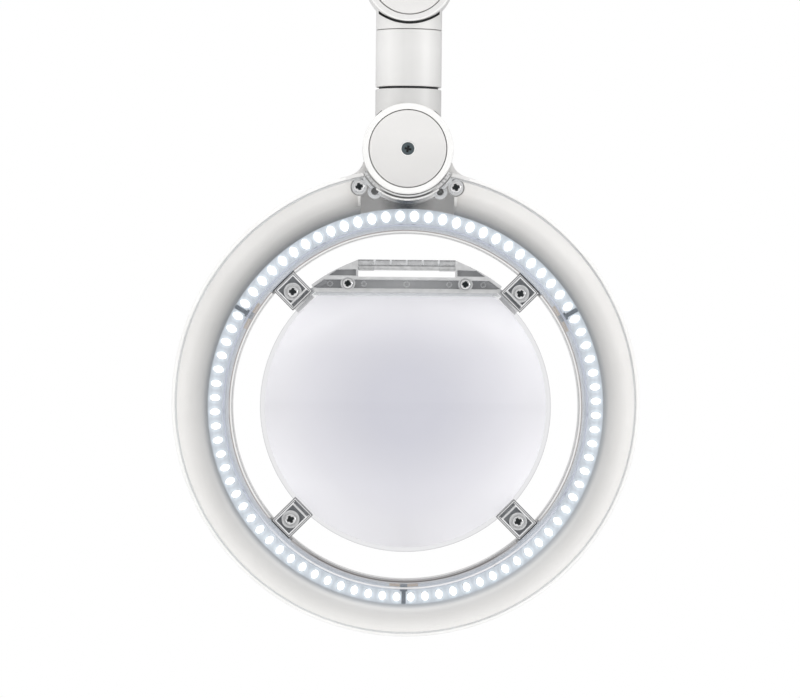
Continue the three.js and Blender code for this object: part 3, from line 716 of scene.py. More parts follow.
def rail_paint(g, x, y, z, tint):
    """The raised middle of the bracket, with painted shade and light banded across it and mottled, and a
    web behind painted bright.
    """
    stops = [
        (0.04, 0.64), (0.18, 0.62), (0.23, 0.80), (0.32, 0.80), (0.37, 0.62), (0.41, 0.54), (0.44, 0.29),
        (0.49, 0.29), (0.54, 0.50), (0.66, 0.56), (0.72, 0.48), (0.83, 0.48), (0.88, 0.20), (1.0, 0.20),
    ]
    shade_bands = g.ramp(g.spread(z, 0.0592, 0.0640), stops)
    tone = g.tinted(shade_bands, g.ramp(g.noise(420.0, 4.0), [(0.38, 0.74), (0.62, 1.0)]))
    # painted light: the notch floors, deep in shade, are painted near white
    web = (y > -0.0074) * (z > 0.0616)
    tone = g.mix(web, tone, (0.95, 0.95, 0.95))
    return g.mix((abs(x) < 0.0212) * (z > 0.0592), tint, tone)


def clear_material(name, floor_y, border=None, middle=False, solid=0.72):
    """Thick clear moulding: painted dark shade down in its pockets, pale along its rims."""
    g = surface(name)
    x, y, z = g.axes()
    streaks = g.noise(260.0, 4.0)
    sunk_shade = g.ramp(streaks, [(0.25, (0.17, 0.18, 0.195)), (0.75, (0.35, 0.36, 0.37))])
    pale = g.ramp(streaks, [(0.3, 0.60), (0.7, 0.76)])
    if middle:
        width = g.spread(abs(x), 0.0, 0.037)
        sunk_shade = g.mix(0.75, sunk_shade, g.ramp(width, [(0.0, 0.44), (0.45, 0.34), (0.8, 0.18)]))
    depth = g.spread(y, CLEAR_FACE_Y * MM, floor_y * MM)
    sunk = g.ramp(depth, [(0.35, 0), (0.75, 1)]) * (1.0 - (y > (floor_y + 2) * MM))
    tint = g.mix(sunk, pale, sunk_shade)
    if middle:
        tint = rail_paint(g, x, y, z, tint)
    # painted highlight: a bright line where the surface turns an edge
    bevel = g.rounded(0.35)
    tint = g.mix(g.edges(bevel), tint, (0.93, 0.94, 0.95))
    if border:
        tint = border(g, tint)
    normal = g.bump(g.noise(700.0, 2.0), 0.15, 0.02, bevel)
    body = g.principled(Base_Color=tint, Roughness=0.12, Normal=normal, Specular_IOR_Level=0.7)
    fac = (g.facing(0.3) * 0.25 + solid) * (1.0 - g.ray("Shadow") * 0.8)
    return g.done(g.between(fac, g.transparent((0.93, 0.94, 0.96)), body))


def lens_material():
    """Polished crown glass with a ground edge and a rim that is nearly clear."""
    g = surface("lens_glass")
    radius = g.radius()
    _, _, z = g.axes()
    _, normal_y, _ = g.axes("Normal")
    front = abs(normal_y) > 0.3
    flat = g.ramp(g.spread(z, 0.0470, 0.0500), [(0.25, 0), (0.45, 0.7), (1.0, 0.9)])
    edge = ((radius > 0.0631) * (1.0 - front)).at_least(flat)
    rough = g.ramp(g.noise(1500.0, 2.0), [(0.3, 0.0), (0.8, 0.02)])
    clear = (0.985, 0.988, 0.995)
    glass = g.principled(Base_Color=clear, Roughness=rough, IOR=1.45, Transmission_Weight=1.0)
    grey = g.ramp(g.noise(2200.0, 3.0), [(0.3, (0.55, 0.58, 0.58)), (0.7, (0.72, 0.75, 0.75))])
    ground = g.principled(Base_Color=grey, Roughness=0.6)
    made = g.between(edge * 0.5, glass, ground)
    # the thin bevelled rim bends no light that the front view would show
    rim = g.ramp(g.spread(radius, 0.0612, 0.0618), [(0.2, 0), (0.8, 1)]) * front * (1.0 - flat)
    stops = [(0.0, (0.905, 0.905, 0.912)), (0.80, (0.905, 0.905, 0.912)), (0.93, (0.87, 0.87, 0.875))]
    made = g.between(rim, made, g.transparent(g.ramp(g.spread(radius, 0.0612, 0.0635), stops)))
    through = g.ray("Shadow").at_least(g.ray("Diffuse"))
    return g.done(g.between(through, made, g.transparent((0.97, 0.975, 0.985))))


def lid_material():
    """White plastic with painted light: cool and grey in the middle and lighter towards its rim, with a
    faint painted glow.
    """
    g = surface("lens_lid")
    x, _, z = g.axes()
    radius = g.radius()
    wander = (g.noise(14.0, 2.0) - 0.5) * 0.004
    # painted shade, a little darker straight up, down and sideways than on the diagonals
    cross_shade = abs(x * z).root() * 0.12
    # painted light, lighter towards the top
    top = (z - 0.022).at_least(0.0) * 0.75
    stops = [
        (0.0, (0.620, 0.626, 0.682)),
        (0.25, (0.628, 0.633, 0.688)),
        (0.40, (0.665, 0.668, 0.715)),
        (0.54, (0.715, 0.717, 0.758)),
        (0.68, (0.775, 0.775, 0.812)),
        (0.82, (0.83, 0.83, 0.855)),
        (1.0, (0.89, 0.89, 0.91)),
    ]
    base = g.ramp(g.spread(radius + wander + cross_shade + top, 0.0, 0.066), stops)
    # painted light and shade: darker on the left and low down, lighter high up and on the diagonals near
    # the rim
    left = (x * -1.0).at_least(0.0) * 1.1
    low = (-0.035 - z).at_least(0.0) * 4.5
    high = (z - 0.026).at_least(0.0) * 3.0
    corner = abs(x * z) / (radius * radius) * g.spread(radius, 0.044, 0.060) * 0.24
    lit = high + corner + 0.982 - (left + low)
    base = g.tinted(g.tinted(base, lit), (1.0, 0.98, 0.97))
    return g.self_lit(base, 0.42, g.bump(g.noise(4200.0, 2.0), 0.25, 0.015, g.rounded(0.3)), 0.08)


def board_material():
    """White solder mask, bluish in the light of its own diodes, with painted shade darker towards its
    edges and faint copper tracks.
    """
    g = surface("led_board")
    place = g.get("TexCoord", "Object")
    wave = g.get("TexWave", "Fac", Vector=place, Scale=160.0, Distortion=2.5, Detail=2.0)
    tracks = g.ramp(wave, [(0.46, (0.94, 0.945, 0.95)), (0.54, 1.0)])
    # painted shade, darker at the inner and outer edges
    stops = [
        (0.0, (0.52, 0.54, 0.58)),
        (0.2, (0.46, 0.49, 0.54)),
        (0.32, (0.62, 0.66, 0.71)),
        (0.8, (0.66, 0.71, 0.755)),
        (1.0, (0.52, 0.56, 0.61)),
    ]
    base = g.tinted(tracks, g.ramp(g.spread(g.radius(), 0.0767, 0.0862), stops))
    normal = g.bump(wave, 0.2, 0.03, g.rounded(0.15))
    # a soft painted glow round each diode, from its distance along the circle and across it
    x, _, z = g.axes()
    turn = g.math("ARCTAN2", x, z) / math.radians(LED_PITCH)
    along = (g.math("FRACT", turn + LED_COUNT) - 0.5) * (6.2 / 3.0)
    across = (g.radius() - LED_CIRCLE_R * MM) * (1000 / 3.4)
    halo = g.math("SUBTRACT", 1.0, hypot(along, across), clamp=True)
    glow = {"Emission_Color": (0.88, 0.94, 1.0), "Emission_Strength": halo * 0.55 + 0.07}
    return g.done(g.principled(Base_Color=base, Roughness=0.4, Normal=normal, **glow))


def glow_material():
    """A lit diode: white hot in the middle, a little blue at its edge."""
    g = surface("led_light")
    facing = g.facing(0.5)
    base = g.ramp(g.noise(4000.0, 1.0), [(0.3, 0.96), (0.7, 1.0)])
    color = g.ramp(facing, [(0.35, 1.0), (0.95, (0.80, 0.88, 1.0))])
    strength = g.ramp(facing, [(0.5, 1), (1.0, 0.12)]) * 1.6
    glow = {"Emission_Color": color, "Emission_Strength": strength}
    return g.done(g.principled(Base_Color=base, Roughness=0.25, **glow))


def clip_material(side, angle):
    border = clip_border(angle, *CLIP_REACH[side])
    return clear_material("clear_clip_" + side, CLIP_FLOOR_Y, border, solid=0.9)


HOUSING = plastic("white_housing", (0.80, 0.792, 0.782), 0.42)
CAP = cap_material()
NECK = neck_material()
ARM = plastic("arm_white", (0.81, 0.805, 0.80), 0.30, 0.3, 0.03, 0.012)
CLAMP = plastic("clamp_paint", (0.78, 0.775, 0.77), 0.36, 0.8, 0.05, 0.02)
COVE = cove_material()
COVER = cover_material()
CLIP = clear_material("clear_clip", CLIP_FLOOR_Y)
CLIPS = {side: clip_material(side, angle) for side, angle in CLIP_ANGLES.items()}
BRACKET = clear_material("clear_bracket", -5.9, middle=True)
LENS = lens_material()
LID = lid_material()
LID_BACK = plastic("lid_white", (0.80, 0.80, 0.808), 0.4, 0.3, 0.02, 0.015)
BOARD = board_material()
GLOW = glow_material()
STEEL = metal("bright_steel", (0.86, 0.86, 0.865), 0.2)
DARK_STEEL = metal("dark_steel", (0.15, 0.185, 0.20), 0.36)
THREAD = metal("screw_steel", (0.62, 0.62, 0.63), 0.3)
BLACK = dark("dark_plastic", (0.035, 0.036, 0.04), 0.5)
# black plastic for the spigot, also used for painted shade in the gap round the wrist's cheek
SPIGOT_AND_GAP_SHADE = dark("spigot_black_and_gap_shade", (0.02, 0.021, 0.023), 0.55)
RUBBER = dark("rubber", (0.028, 0.028, 0.03), 0.85, 0.12)
# painted shade, black down in the crosses of the screws and bolts
RECESS_SHADE = dark("screw_recess_shade", (0.012, 0.018, 0.02), 0.32)
# painted highlight: rolled rims and lips made brighter than the plastic round them
RIM_HIGHLIGHT = plastic("rim_highlight", (0.95, 0.945, 0.93), 0.35)
GROOVE_SHADE = groove_material()
BOSS = plastic("grey_boss", (0.72, 0.72, 0.72), 0.4, 0.3, 0.05, 0.08)
POCKET_SHADE = pocket_material()
CIRCUIT = plastic("circuit_board", (0.05, 0.22, 0.1), 0.35, 0.15, 0.05, 0.1)
PART_GREY = dark("component_grey", (0.22, 0.235, 0.26), 0.4)
SOLDER = plastic("solder_tan", (0.50, 0.39, 0.29), 0.4, 0.1, 0.05, 0.1)
# painted shade in the gaps between the boards
GAP_SHADE = plastic("gap_shade_blue_grey", (0.13, 0.155, 0.185), 0.45, 0.1, 0.05, 0.12)

# ---------------------------------------------------------------- shapes of the head


def lifted(v):
    """The ring's outer circle sits a little higher than its inner one."""
    x, y, z = v
    t = (math.hypot(x, z) - COVE_INNER_R) / (RING_OUTER_R - COVE_INNER_R)
    return x, y, z + RING_LIFT * min(max(t, 0), 1)


def ring(profile):
    return lathe(profile, FINE, shape=lifted)


def hub_cut(y0, y1, extra=0.0):
    """A disc at the swivel, a little wider than the knuckle that sits there."""
    return disc(HUB_CUT_R + extra, y0, y1, SWIVEL.x, SWIVEL.z, ROUND)


def radial_block(degrees, r0, r1, t0, t1, y0, y1):
    """A block from radius r0 to r1 and sideways from t0 to t1, turned to an angle round the ring."""
    return turn_y(block(t0, t1, y0, y1, r0, r1), degrees)


def sector(start, end, r0, r1, y0, y1, steps=80):
    """Part of a flat ring, from one angle to another."""
    outer = [polar(r1, start + (end - start) * i / steps) for i in range(steps + 1)]
    inner = [polar(r0, end + (start - end) * i / steps) for i in range(steps + 1)]
    return prism(outer + inner, y0, y1)


def eye():
    """The round plate of a knuckle between a fork's two cheeks."""
    inset, face = EYE_R - 0.5, EYE_HALF - 0.5
    profile = [(0, -EYE_HALF), (inset, -EYE_HALF), (EYE_R, -face), (EYE_R, face)]
    return lathe(profile + [(inset, EYE_HALF), (0, EYE_HALF)])


def at_swivel(obj):
    return move(obj, (SWIVEL.x, 0, SWIVEL.z))


def sag(r):
    """How far the lens surface has curved back at a radius."""
    return LENS_SURFACE_R - math.sqrt(LENS_SURFACE_R**2 - r * r)


def lens_half(r):
    """Half the thickness of the lens at a radius."""
    return 1.5 + sag(LENS_R) - sag(r)


# ---------------------------------------------------------------- ring housing


def housing():
    """The ring's shell with its light trough, the hub with its eye, and the seats for screws."""
    outer, back = RING_OUTER_R, RING_BACK_Y
    profile = [(COVE_OUTER_R, -11.4), (100.2, -11.4), (100.2, -12.6)]
    profile += arc(100.5, -12.6, 0.3, 180, 270, 4)
    profile += arc(outer - 0.5, -12.4, 0.5, -90, 0, 6)
    profile += curve((outer, -1), (outer, 8.5), (98.6, back), (91, back), 20)
    profile += arc(RING_INNER_R + 2.2, back - 2.2, 2.2, 90, 180, 8)
    profile += [(RING_INNER_R, -1.2), (77, -1.2), (77, 10.6), (81, 11), (81, -3.5), (82.2, -3.5)]
    profile += [(82.2, 11)] + curve((90.5, 11), (96, 10.8), (98.8, 7), (COVE_OUTER_R, 0), 10)
    shell = ring(profile)
    solid = [(80.2, -11.5), (100, -11.5), (100.4, 0)]
    solid += curve((100.4, 2), (100.2, 8), (97, 12.4), (91, 12.6), 10)
    solid += [(80.2, 12.7)]
    hub = common(ring(solid), hub_cut(-12, 13.2, 1.4))
    web = [(14, 98), (26.0, 98.6)]
    web += curve((25.6, 100.2), (23.4, 101.0), (20.4, 102.4), (19.4, 106.2), 10)
    web += [(16, 106)]
    seats = discs(3.35, -11.5, 10, COVER_SCREWS.values()) + discs(3.2, -10.4, 10, COVER_PEGS)
    lugs = []
    for side, angle in CLIP_ANGLES.items():
        lugs.append(radial_block(angle, 62.1, 76, -4.8, 4.8, 1.8, 6.4))
        if side.startswith("lower"):
            lugs.append(radial_block(angle, 64.3, 76, -4.8, 4.8, -1.5, 2))
    holes = discs(1.5, -12, 0, COVER_SCREWS.values(), 32) + discs(1.6, -12, -4, COVER_PEGS, 32)
    holes += discs(1.5, -3, 5.6, CLIP_SCREWS.values(), 32)
    body = join(shell, hub, at_swivel(eye()), *both(web, -8.3, 8.3), *seats, *lugs)
    return cut(
        body,
        hub_cut(-20, -8.6),
        hub_cut(8.6, 20),
        disc(3.1, -20, 20, SWIVEL.x, SWIVEL.z, 48),
        disc(5.3, 8.6, 14, BUTTON.x, BUTTON.z, 64),
        *holes,
    )


# a zone's test is given the middle of a face, in millimetres, and its normal
# the pocket floor and walls under the knuckle, which take the painted shadow
def in_pocket(p, n):
    wall = 21.9 < apart(p, SWIVEL) < 23.8 and abs(p.x) < 16 and p.z < 98
    floor = abs(p.x) < 24 and 80 < p.z < 98 and -9 < p.y < 11.5 and p.length > 82
    return floor or (wall and p.y < -9)


# the ring's outer lip, which takes a painted highlight
def on_lip(p, n):
    return p.y < -11.5 and math.hypot(p.x, p.z - RING_LIFT) > 100.1 and p.z < 99


# the bosses and their peg holes, in a grey set light to paint out the shade down the holes
def on_boss(p, n):
    pegs = [math.hypot(p.x - x, p.z - z) for x, z in COVER_PEGS]
    return min(pegs) < 3.3 and p.y < -3


housing_zones = [(POCKET_SHADE, in_pocket), (BOSS, on_boss), (RIM_HIGHLIGHT, on_lip)]
show(housing(), "ring_housing", "head", HOUSING, ["head_housing"], zones=housing_zones)

# the groove round the underside of the knuckle, a thin sheet painted with its shadow, with the small keys
# that lock the cover in it
groove = at_swivel(sector(118, 242, 20.2, 21.8, -12.4, -11.8))
show(groove, "hub_groove_shade", "head", GROOVE_SHADE)
key_angles = [180 + side * a for side in (-1, 1) for a in (39, 44, 49, 54)]
keys = [at_swivel(radial_block(a, 20.4, 21.6, -0.5, 0.5, -12.7, -12.2)) for a in key_angles]
show(merge("keys", keys), "hub_keys", "head", BOSS)
# the lip round the knuckle's opening, bright with a painted highlight
lip = at_swivel(sector(142, 218, 21.8, 22.5, -13, -11.4))
show(lip, "hub_lip", "head", RIM_HIGHLIGHT)

# ---------------------------------------------------------------- cove, cover and lights


def cove():
    """The curved reflector, open at the hub, with a short rib at each end."""
    outer = COVE_OUTER_R - 0.02
    front = curve((COVE_INNER_R, -3.2), (92.4, -3.6), (97.2, -7.2), (outer, -11.35), 18)
    back = curve((outer, -10.2), (97.6, -6.6), (92.6, -2.6), (COVE_INNER_R, -2.2), 18)
    body = cut(ring([(85.6, -3.2)] + front + back + [(85.6, -2.2)]), block(-20.4, 20.4, -15, 5, 60, 110))
    body = join(body, *both_blocks(20.4, 21.5, -11, -2.4, 87.0, 91.4))
    return cut(body, hub_cut(-20, 20, 1.8), *discs(3.8, -20, 20, COVER_SCREWS.values()))


def cover():
    """The clear ring over the lights, which turns back along the opening."""
    inner, wall = RING_INNER_R, RING_INNER_R + 0.8
    profile = [(inner, -12.7)] + arc(inner + 0.3, -12.7, 0.3, 180, 270, 4)
    profile += [(99.7, -13)] + arc(99.85, -12.7, 0.3, -90, 0, 4)
    profile += [(100.15, -11.9), (wall, -11.9), (wall, -1.5), (inner, -1.5)]
    return cut(
        ring(profile),
        hub_cut(-20, 0),
        *discs(1.5, -20, 0, COVER_SCREWS.values(), 32),
        *[radial_block(a, 72, 76.9, -6.7, 6.7, -15, 0) for a in CLIP_ANGLES.values()],
    )


def package(angle):
    """One diode's white body."""
    return radial_block(angle, LED_CIRCLE_R - 1.75, LED_CIRCLE_R + 1.75, -1.4, 1.4, -5.75, BOARD_FACE_Y)


def dome(angle):
    """An oval dome of light over a diode, longer along the radius."""
    profile = [(0, 0), *[(r, -h) for r, h in (polar(1, a) for a in range(90, 0, -10))], (0, -1)]
    obj = lathe(profile, 24)
    # those at the top of the ring spread widest
    side, up = polar(1, angle)
    up, side = max(0.0, up), abs(side)
    wide, long = 1.54 + 0.3 * up - 0.12 * side, 1.88 + 0.4 * up + 0.2 * side
    obj.data.transform(Matrix.Diagonal((wide, 0.9, long, 1)))
    move(obj, (0, -5.7, LED_CIRCLE_R))
    return turn_y(obj, angle)


show(cove(), "light_cove", "head", COVE, ["reflector_ring"], 45)
show(cover(), "front_cover", "head", COVER, ["clear_cover"])
for side, start in (("top", -60), ("right", 60), ("left", 180)):
    board = sector(start + 0.2, start + 119.8, 76.7, 86.2, -5, -3.8)
    show(board, "board_" + side, "head", BOARD, ["led_board_" + side])
    angles = [start + (i + 0.5) * LED_PITCH for i in range(LED_COUNT // 3)]
    show(merge("packages", [package(a) for a in angles]), "diodes_" + side, "head", CAP)
    show(merge("domes", [dome(a) for a in angles]), "diode_lights_" + side, "head", GLOW, angle=80)

# small parts soldered between the diodes, a tan pad each side of every gap between boards, and dark sheets
# of painted shade in each gap
part_angles = (-58, -30, -27, -2, 2, 23, 27, 58, 62, 92, 118, 122, 150, 178, 182, 210, 238, 242, 268, 298)
parts = [radial_block(angle, 79.0, 79.7, -0.7, 0.7, -5.4, BOARD_FACE_Y) for angle in part_angles]
pads, links = [], []
for angle in (-60, 60, 180):
    for a, b in ((1.1, 4.6), (-4.6, -1.1)):
        pads.append(sector(angle + a, angle + b, 76.8, 78.5, -5.25, BOARD_FACE_Y, 8))
    # the dark sheets of painted shade that fill each gap
    links.append(sector(angle - 1.15, angle + 1.15, 76.8, 80.6, -5.3, BOARD_FACE_Y, 6))
    links.append(sector(angle - 0.62, angle + 0.62, 80.6, 86.0, -5.2, BOARD_FACE_Y, 6))
show(merge("parts", parts), "board_components", "head", PART_GREY)
show(merge("pads", pads), "board_joint_pads", "head", SOLDER)
show(merge("links", links), "board_gap_shade", "head", GAP_SHADE)

# ---------------------------------------------------------------- lens, lid, bracket and clips


def lens():
    """A double convex glass with a fine bevel, cut straight along its top."""
    steps = [LENS_R * i / 24 for i in range(25)]
    front = [(r, -lens_half(r)) for r in steps]
    front[-1] = (LENS_R - 0.25, front[-1][1])
    front.append((LENS_R, front[-1][1] + 0.25))
    back = [(r, -h) for r, h in reversed(front)]
    return cut(lathe(front + back, FINE), block(-70, 70, -20, 20, LENS_CHORD_Z, 70))


def lid():
    """A thin shell that follows the back of the lens, with two hinge arms."""
    radius = 61.5
    steps = [radius * i / 20 for i in range(21)]
    inner = [(r, lens_half(r) + 1) for r in steps]
    outer = [(r, lens_half(r) + 2.6) for r in steps]
    outer[-1] = (radius - 0.5, outer[-1][1])
    outer.append((radius, outer[-1][1] - 0.5))
    body = cut(lathe(inner + outer[::-1], FINE), block(-70, 70, -5, 20, 49.3, 70))
    for x0, x1 in ((21.3, 23.8), (-23.8, -21.3)):
        body = join(
            body,
            block(x0, x1, 6.8, 9.4, 46, LID_PIN.z),
            block(x0, x1, 4.9, 9.4, 45, 49.3),
            rod_x(2, x0, x1, LID_PIN.y, LID_PIN.z),
        )
    return cut(body, rod_x(1.2, -30, 30, LID_PIN.y, LID_PIN.z))


PIPS = [(-33.4, 1.15), (-18.6, 1.15), (0.0, 1.3), (18.6, 1.15), (33.4, 1.15)]  # moulding marks


def bracket():
    """The clear crosspiece: a beam along the lens's cut edge, a rail with hinge lugs, two ears."""
    rise = [polar(67, a) for a in (38.2, 36, 33, 30, 27, 24.5, 22)]
    fall = [(-x, z) for x, z in reversed(rise)]
    outline = [(-40, 49.6), (40, 49.6), *rise, (21, 63.9), (-21, 63.9), *fall]
    low = LENS_CHORD_Z + 0.3
    beam = [(-38.3, low), (38.3, low), (40.4, 51.9), (33.9, 56.2), (-33.9, 56.2), (-40.4, 51.9)]
    ear = [(37.6, 51.6), *[polar(63.7, a) for a in (38.2, 40, 42, 44.4)], (50.5, 44.8), (54.3, 48.6)]
    ear += [(54.3, 50.5), (49.5, 54.8), (46.9, 54.5), (43.0, 50.6), (41.4, 51.4), (38.4, 53.2)]
    window = [(22.0, 56.8), (34.2, 56.8), (30.4, 59.4), (22.0, 59.6)]
    trough = [(-39, 51.3), (39, 51.3), (40.8, 51.6), (36, 55.1), (-36, 55.1), (-40.8, 51.6)]
    hollow = cut(prism(trough, -9, -5.8), *discs(3.1, -10, -5, BRACKET_SCREWS.values()))
    lugs = both_blocks(14.4, 21, -5, 10.2, 59.3, 63.9)
    front = prism(outline, CLEAR_FACE_Y, -4.3)
    body = join(front, prism(beam, -5.3, 4.3), *both(ear, -1.4, 1.4), *lugs)
    grooves = [block(x - 0.4, x + 0.4, -9, -7.2, 61.7, 65) for x in (-14, -7, 0, 7, 14)]
    shelf = block(-21.2, 21.2, -9, -7.1, 59.0, 61.6)
    marks = [block(x - 0.25, x + 0.25, -7.4, -6.4, 59.0, 60.6) for x in (-21, -14.4, 14.4, 21)]
    pips = [cut(disc(r, -5.95, -5.7, x, 53.3, 32), disc(r - 0.3, -7, -5.85, x, 53.3, 32)) for x, r in PIPS]
    holes = discs(1.5, -10, 6, BRACKET_SCREWS.values(), 32)
    holes += discs(2.7, -10, -7.4, BRACKET_SCREWS.values())
    holes += discs(1.5, -3, 3, [CLIP_SCREWS["upper_left"], CLIP_SCREWS["upper_right"]], 32)
    body = cut(
        body,
        block(-21.6, 21.6, -10, 5, 56.4, 59.3),
        *both(window, -9, -5.6),
        hollow,
        rod_x(1.3, -30, 30, LID_PIN.y, LID_PIN.z),
        *grooves,
        shelf,
        *marks,
        *holes,
    )
    return join(body, *pips)


def clip(angle, inner, t0, t1):
    """A clear clip from an inner radius out to the ring, reaching sideways from t0 to t1."""
    x, z = polar(CLIP_SCREW_R, angle)
    outer = CLIP_OUTER_R
    body = radial_block(angle, inner, outer, t0, t1, CLEAR_FACE_Y, -1.8)
    rim = radial_block(angle, inner + 0.8, outer - 0.8, t0 + 0.8, t1 - 0.8, -9, -7.65)
    pocket = radial_block(angle, inner + 3, outer - 1.6, t0 + 1.6, t1 - 1.6, -9, -4.6)
    slit = radial_block(angle, inner + 1, inner + 2.2, t0 + 1.3, t1 - 1.3, -9, -5.4)
    body = cut(body, rim, pocket, slit)
    pad = disc(3.85, -6.8, -2.3, x, z, 64)
    ridge = cut(disc(3.85, -7.1, -6.5, x, z, 64), disc(3.3, -8, -6, x, z, 64))
    return cut(join(body, pad, ridge), disc(1.5, -10, 0, x, z, 32))


def screw(place, head_r, y0, head_t, y1, twist):
    """A pan-head screw with a cross recess, its head facing -Y."""
    under = y0 + head_t
    profile = [(0, y0)]
    profile += curve((head_r * 0.55, y0), (head_r * 0.85, y0), (head_r, y0 + 0.3), (head_r, under), 6)
    profile += [(1.2, under), (1.2, y1), (0, y1)]
    body = lathe(profile, 48)
    reach = head_r * 0.62
    slot = [(-reach, -0.62), (reach, -0.62), (reach, 0.62), (-reach, 0.62)]
    arms = [turn_y(prism(slot, y0 - 1, y0 + head_t * 0.8), angle) for angle in (0, 90)]
    core = lathe([(0, y0 - 1), (1.25, y0 - 1), (1.25, y0 + 0.3), (0.3, y0 + 1.2), (0, y0 + 1.2)], 8)
    body = cut(body, *arms, core)
    turn_y(body, twist)
    return move(body, (place[0], 0, place[1]))


def show_screw(name, place, head_r, y0, head_t, y1, twist, node):
    """Bright steel, with painted shade black down in the cross."""
    made = screw(place, head_r, y0, head_t, y1, twist)

    def sunk(middle, normal):
        away = math.hypot(middle.x - place[0], middle.z - place[1])
        return y0 + 0.12 < middle.y < y0 + 1.7 and away < head_r * 0.66

    show(made, name, "head", STEEL, [node], zones=[(RECESS_SHADE, sunk)])


show(lens(), "glass_lens", "head", LENS, ["magnifier_lens"], 40)
show(lid(), "flip_lid", "lid", LID, ["lens_lid"], 40, zones=[(LID_BACK, lambda p, n: n.y > -0.3)])
show(bracket(), "clear_bracket", "head", BRACKET, ["lens_bracket"])
for side, angle in CLIP_ANGLES.items():
    made = clip(angle, *CLIP_REACH[side])
    show(made, "clear_clip_" + side, "head", CLIPS[side], ["clip_" + side])
    node = "clip_screw_" + side
    show_screw("pan_screw_" + side, CLIP_SCREWS[side], 2.6, -8.3, 1.2, 5.2, 20 + angle / 3, node)
for side in SIDES:
    show_screw("bar_screw_" + side, BRACKET_SCREWS[side], 2.3, -8.4, 0.7, 6, 15, "bracket_screw_" + side)
    show_screw("face_screw_" + side, COVER_SCREWS[side], 2.55, -14.3, 1, -1, -15, "cover_screw_" + side)
show(rod_x(1, -24.2, 24.2, LID_PIN.y, LID_PIN.z), "hinge_pin", "head", THREAD, ["lid_hinge_pin"])


def button():
    """The switch on the ring's back, its top faintly dished."""
    profile = [(0, 7.2), (1.6, 7.2), (1.6, 8.2), (5.7, 8.2), (5.7, 9.1), (5, 9.1), (5, 13.9)]
    profile += arc(4.5, 13.9, 0.5, 0, 90, 5)
    profile += curve((3.6, 14.4), (2.4, 14.2), (1.2, 13.95), (0, 13.9), 8)
    return move(lathe(profile, 64), (BUTTON.x, 0, BUTTON.z))


show(button(), "push_button", "button", BLACK, ["power_button"])

# ---------------------------------------------------------------- knuckles


def stem_profile(kind):
    """The half section of a fork's or a tongue's stem, from the middle of the knuckle outwards."""
    if kind == "arm":
        return [(0, 0), (11.5, 0), (11.5, 35.6), (11.1, 36), (9.3, 36), (9.3, 56), (0, 56)]
    if kind == "neck":
        top = extent("swivel_fork")[1].z - SWIVEL.z - GAP_DROP
        return [(0, 0), (NECK_R, 0), (NECK_R, top - 0.3), (NECK_R - 0.3, top), (0, top)]
    flange = [(NECK_R, 26), (16, 27.6), (16, 29.6), (15.6, 30), (6.5, 30)]
    return [(0, 0), (NECK_R, 0), *flange, (6.5, 66), (0, 66)]


def fork(kind):
    """Two round cheeks on a stem along +Z, with a cap recess and bolt holes."""
    face = [(0, 8.8), (CHEEK_R, 8.8), (CHEEK_R, 15.2)]
    face += arc(CHEEK_R - 0.8, 15.2, 0.8, 0, 90, 8) + [(0, 16)]
    cheek = lathe(face)
    other = lathe([(r, -y) for r, y in face])
    stem = lathe(stem_profile(kind), ROUND, axis="Z")
    if kind == "neck":
        top = stem_profile(kind)[-1][1]
        stem = cut(stem, rod_z(NECK_BORE_R, top - 4.7, top + 1))
    body = join(stem, cheek, other)
    return cut(
        body,
        disc(EYE_SEAT_R, -8.8, 8.8, segments=ROUND),
        disc(17.1, 13.3, 17, segments=ROUND),
        disc(17.1, -17, -13.3, segments=ROUND),
        disc(3.1, -16, 16, segments=48),
        disc(4.9, -16, -10.5, segments=48),
        disc(5.3, 10.5, 16, segments=48),
    )


def tongue(profile, gap=EYE_SEAT_R, flank=EYE_HALF):
    """An eye on a stem along +Z; the stem is cut back round the cheeks to the gap's radius."""
    stem = cut(
        lathe(profile, ROUND, axis="Z"),
        disc(gap, flank, 30, segments=ROUND),
        disc(gap, -30, -flank, segments=ROUND),
    )
    return cut(join(stem, eye()), disc(3.1, -20, 20, segments=48))


def cap(front):
    """A round cap, faintly dished, with a rolled edge. The front one is bored to show the bolt."""
    profile = [(0, 13.6), (16.7, 13.6), (16.7, 15.7)] + arc(16.3, 15.7, 0.4, 0, 90, 5)
    profile += curve((15.9, 16.1), (11, 16.1), (5, 15.98), (0, 15.98), 10)[1:]
    made = lathe(profile)
    if not front:
        return made
    made.data.transform(Matrix.Rotation(math.pi, 4, "Z"))
    bolt_hole = [(0, -18), (3.5, -18), (3.3, -15.95), (2.8, -15.4), (2.8, -13), (0, -13)]
    return cut(made, lathe(bolt_hole, 64))


def pivot_bolt():
    """The bolt along a knuckle, with a cross sunk in its head."""
    profile = [(0, -13.2), (4.3, -13.2), (4.6, -12.9), (4.6, -10.8), (2.8, -10.8), (2.8, 12.8), (0, 12.8)]
    body = lathe(profile, 64)
    arm = [(-1.5, -0.5), (1.5, -0.5), (1.5, 0.5), (-1.5, 0.5)]
    return cut(body, *[turn_y(prism(arm, -14, -11.6), a) for a in (12, 102)])


def pivot_nut():
    """A six-sided nut with its corners taken off."""
    body = common(
        disc(4.9, 10.8, 13.2, segments=6),
        lathe([(0, 10), (5.2, 10), (5.2, 12.7), (4.4, 13.2), (0, 13.2)], 48),
    )
    return cut(body, disc(3.05, 10, 14, segments=48))


def placed(obj, at, degrees):
    """Turned about Y from its own +Z, then put at a knuckle."""
    return move(turn_y(obj, degrees), at)


def heading(a, b):
    """The turn about Y that takes +Z to the direction from a to b, in degrees."""
    return math.degrees(math.atan2(b.x - a.x, b.z - a.z))


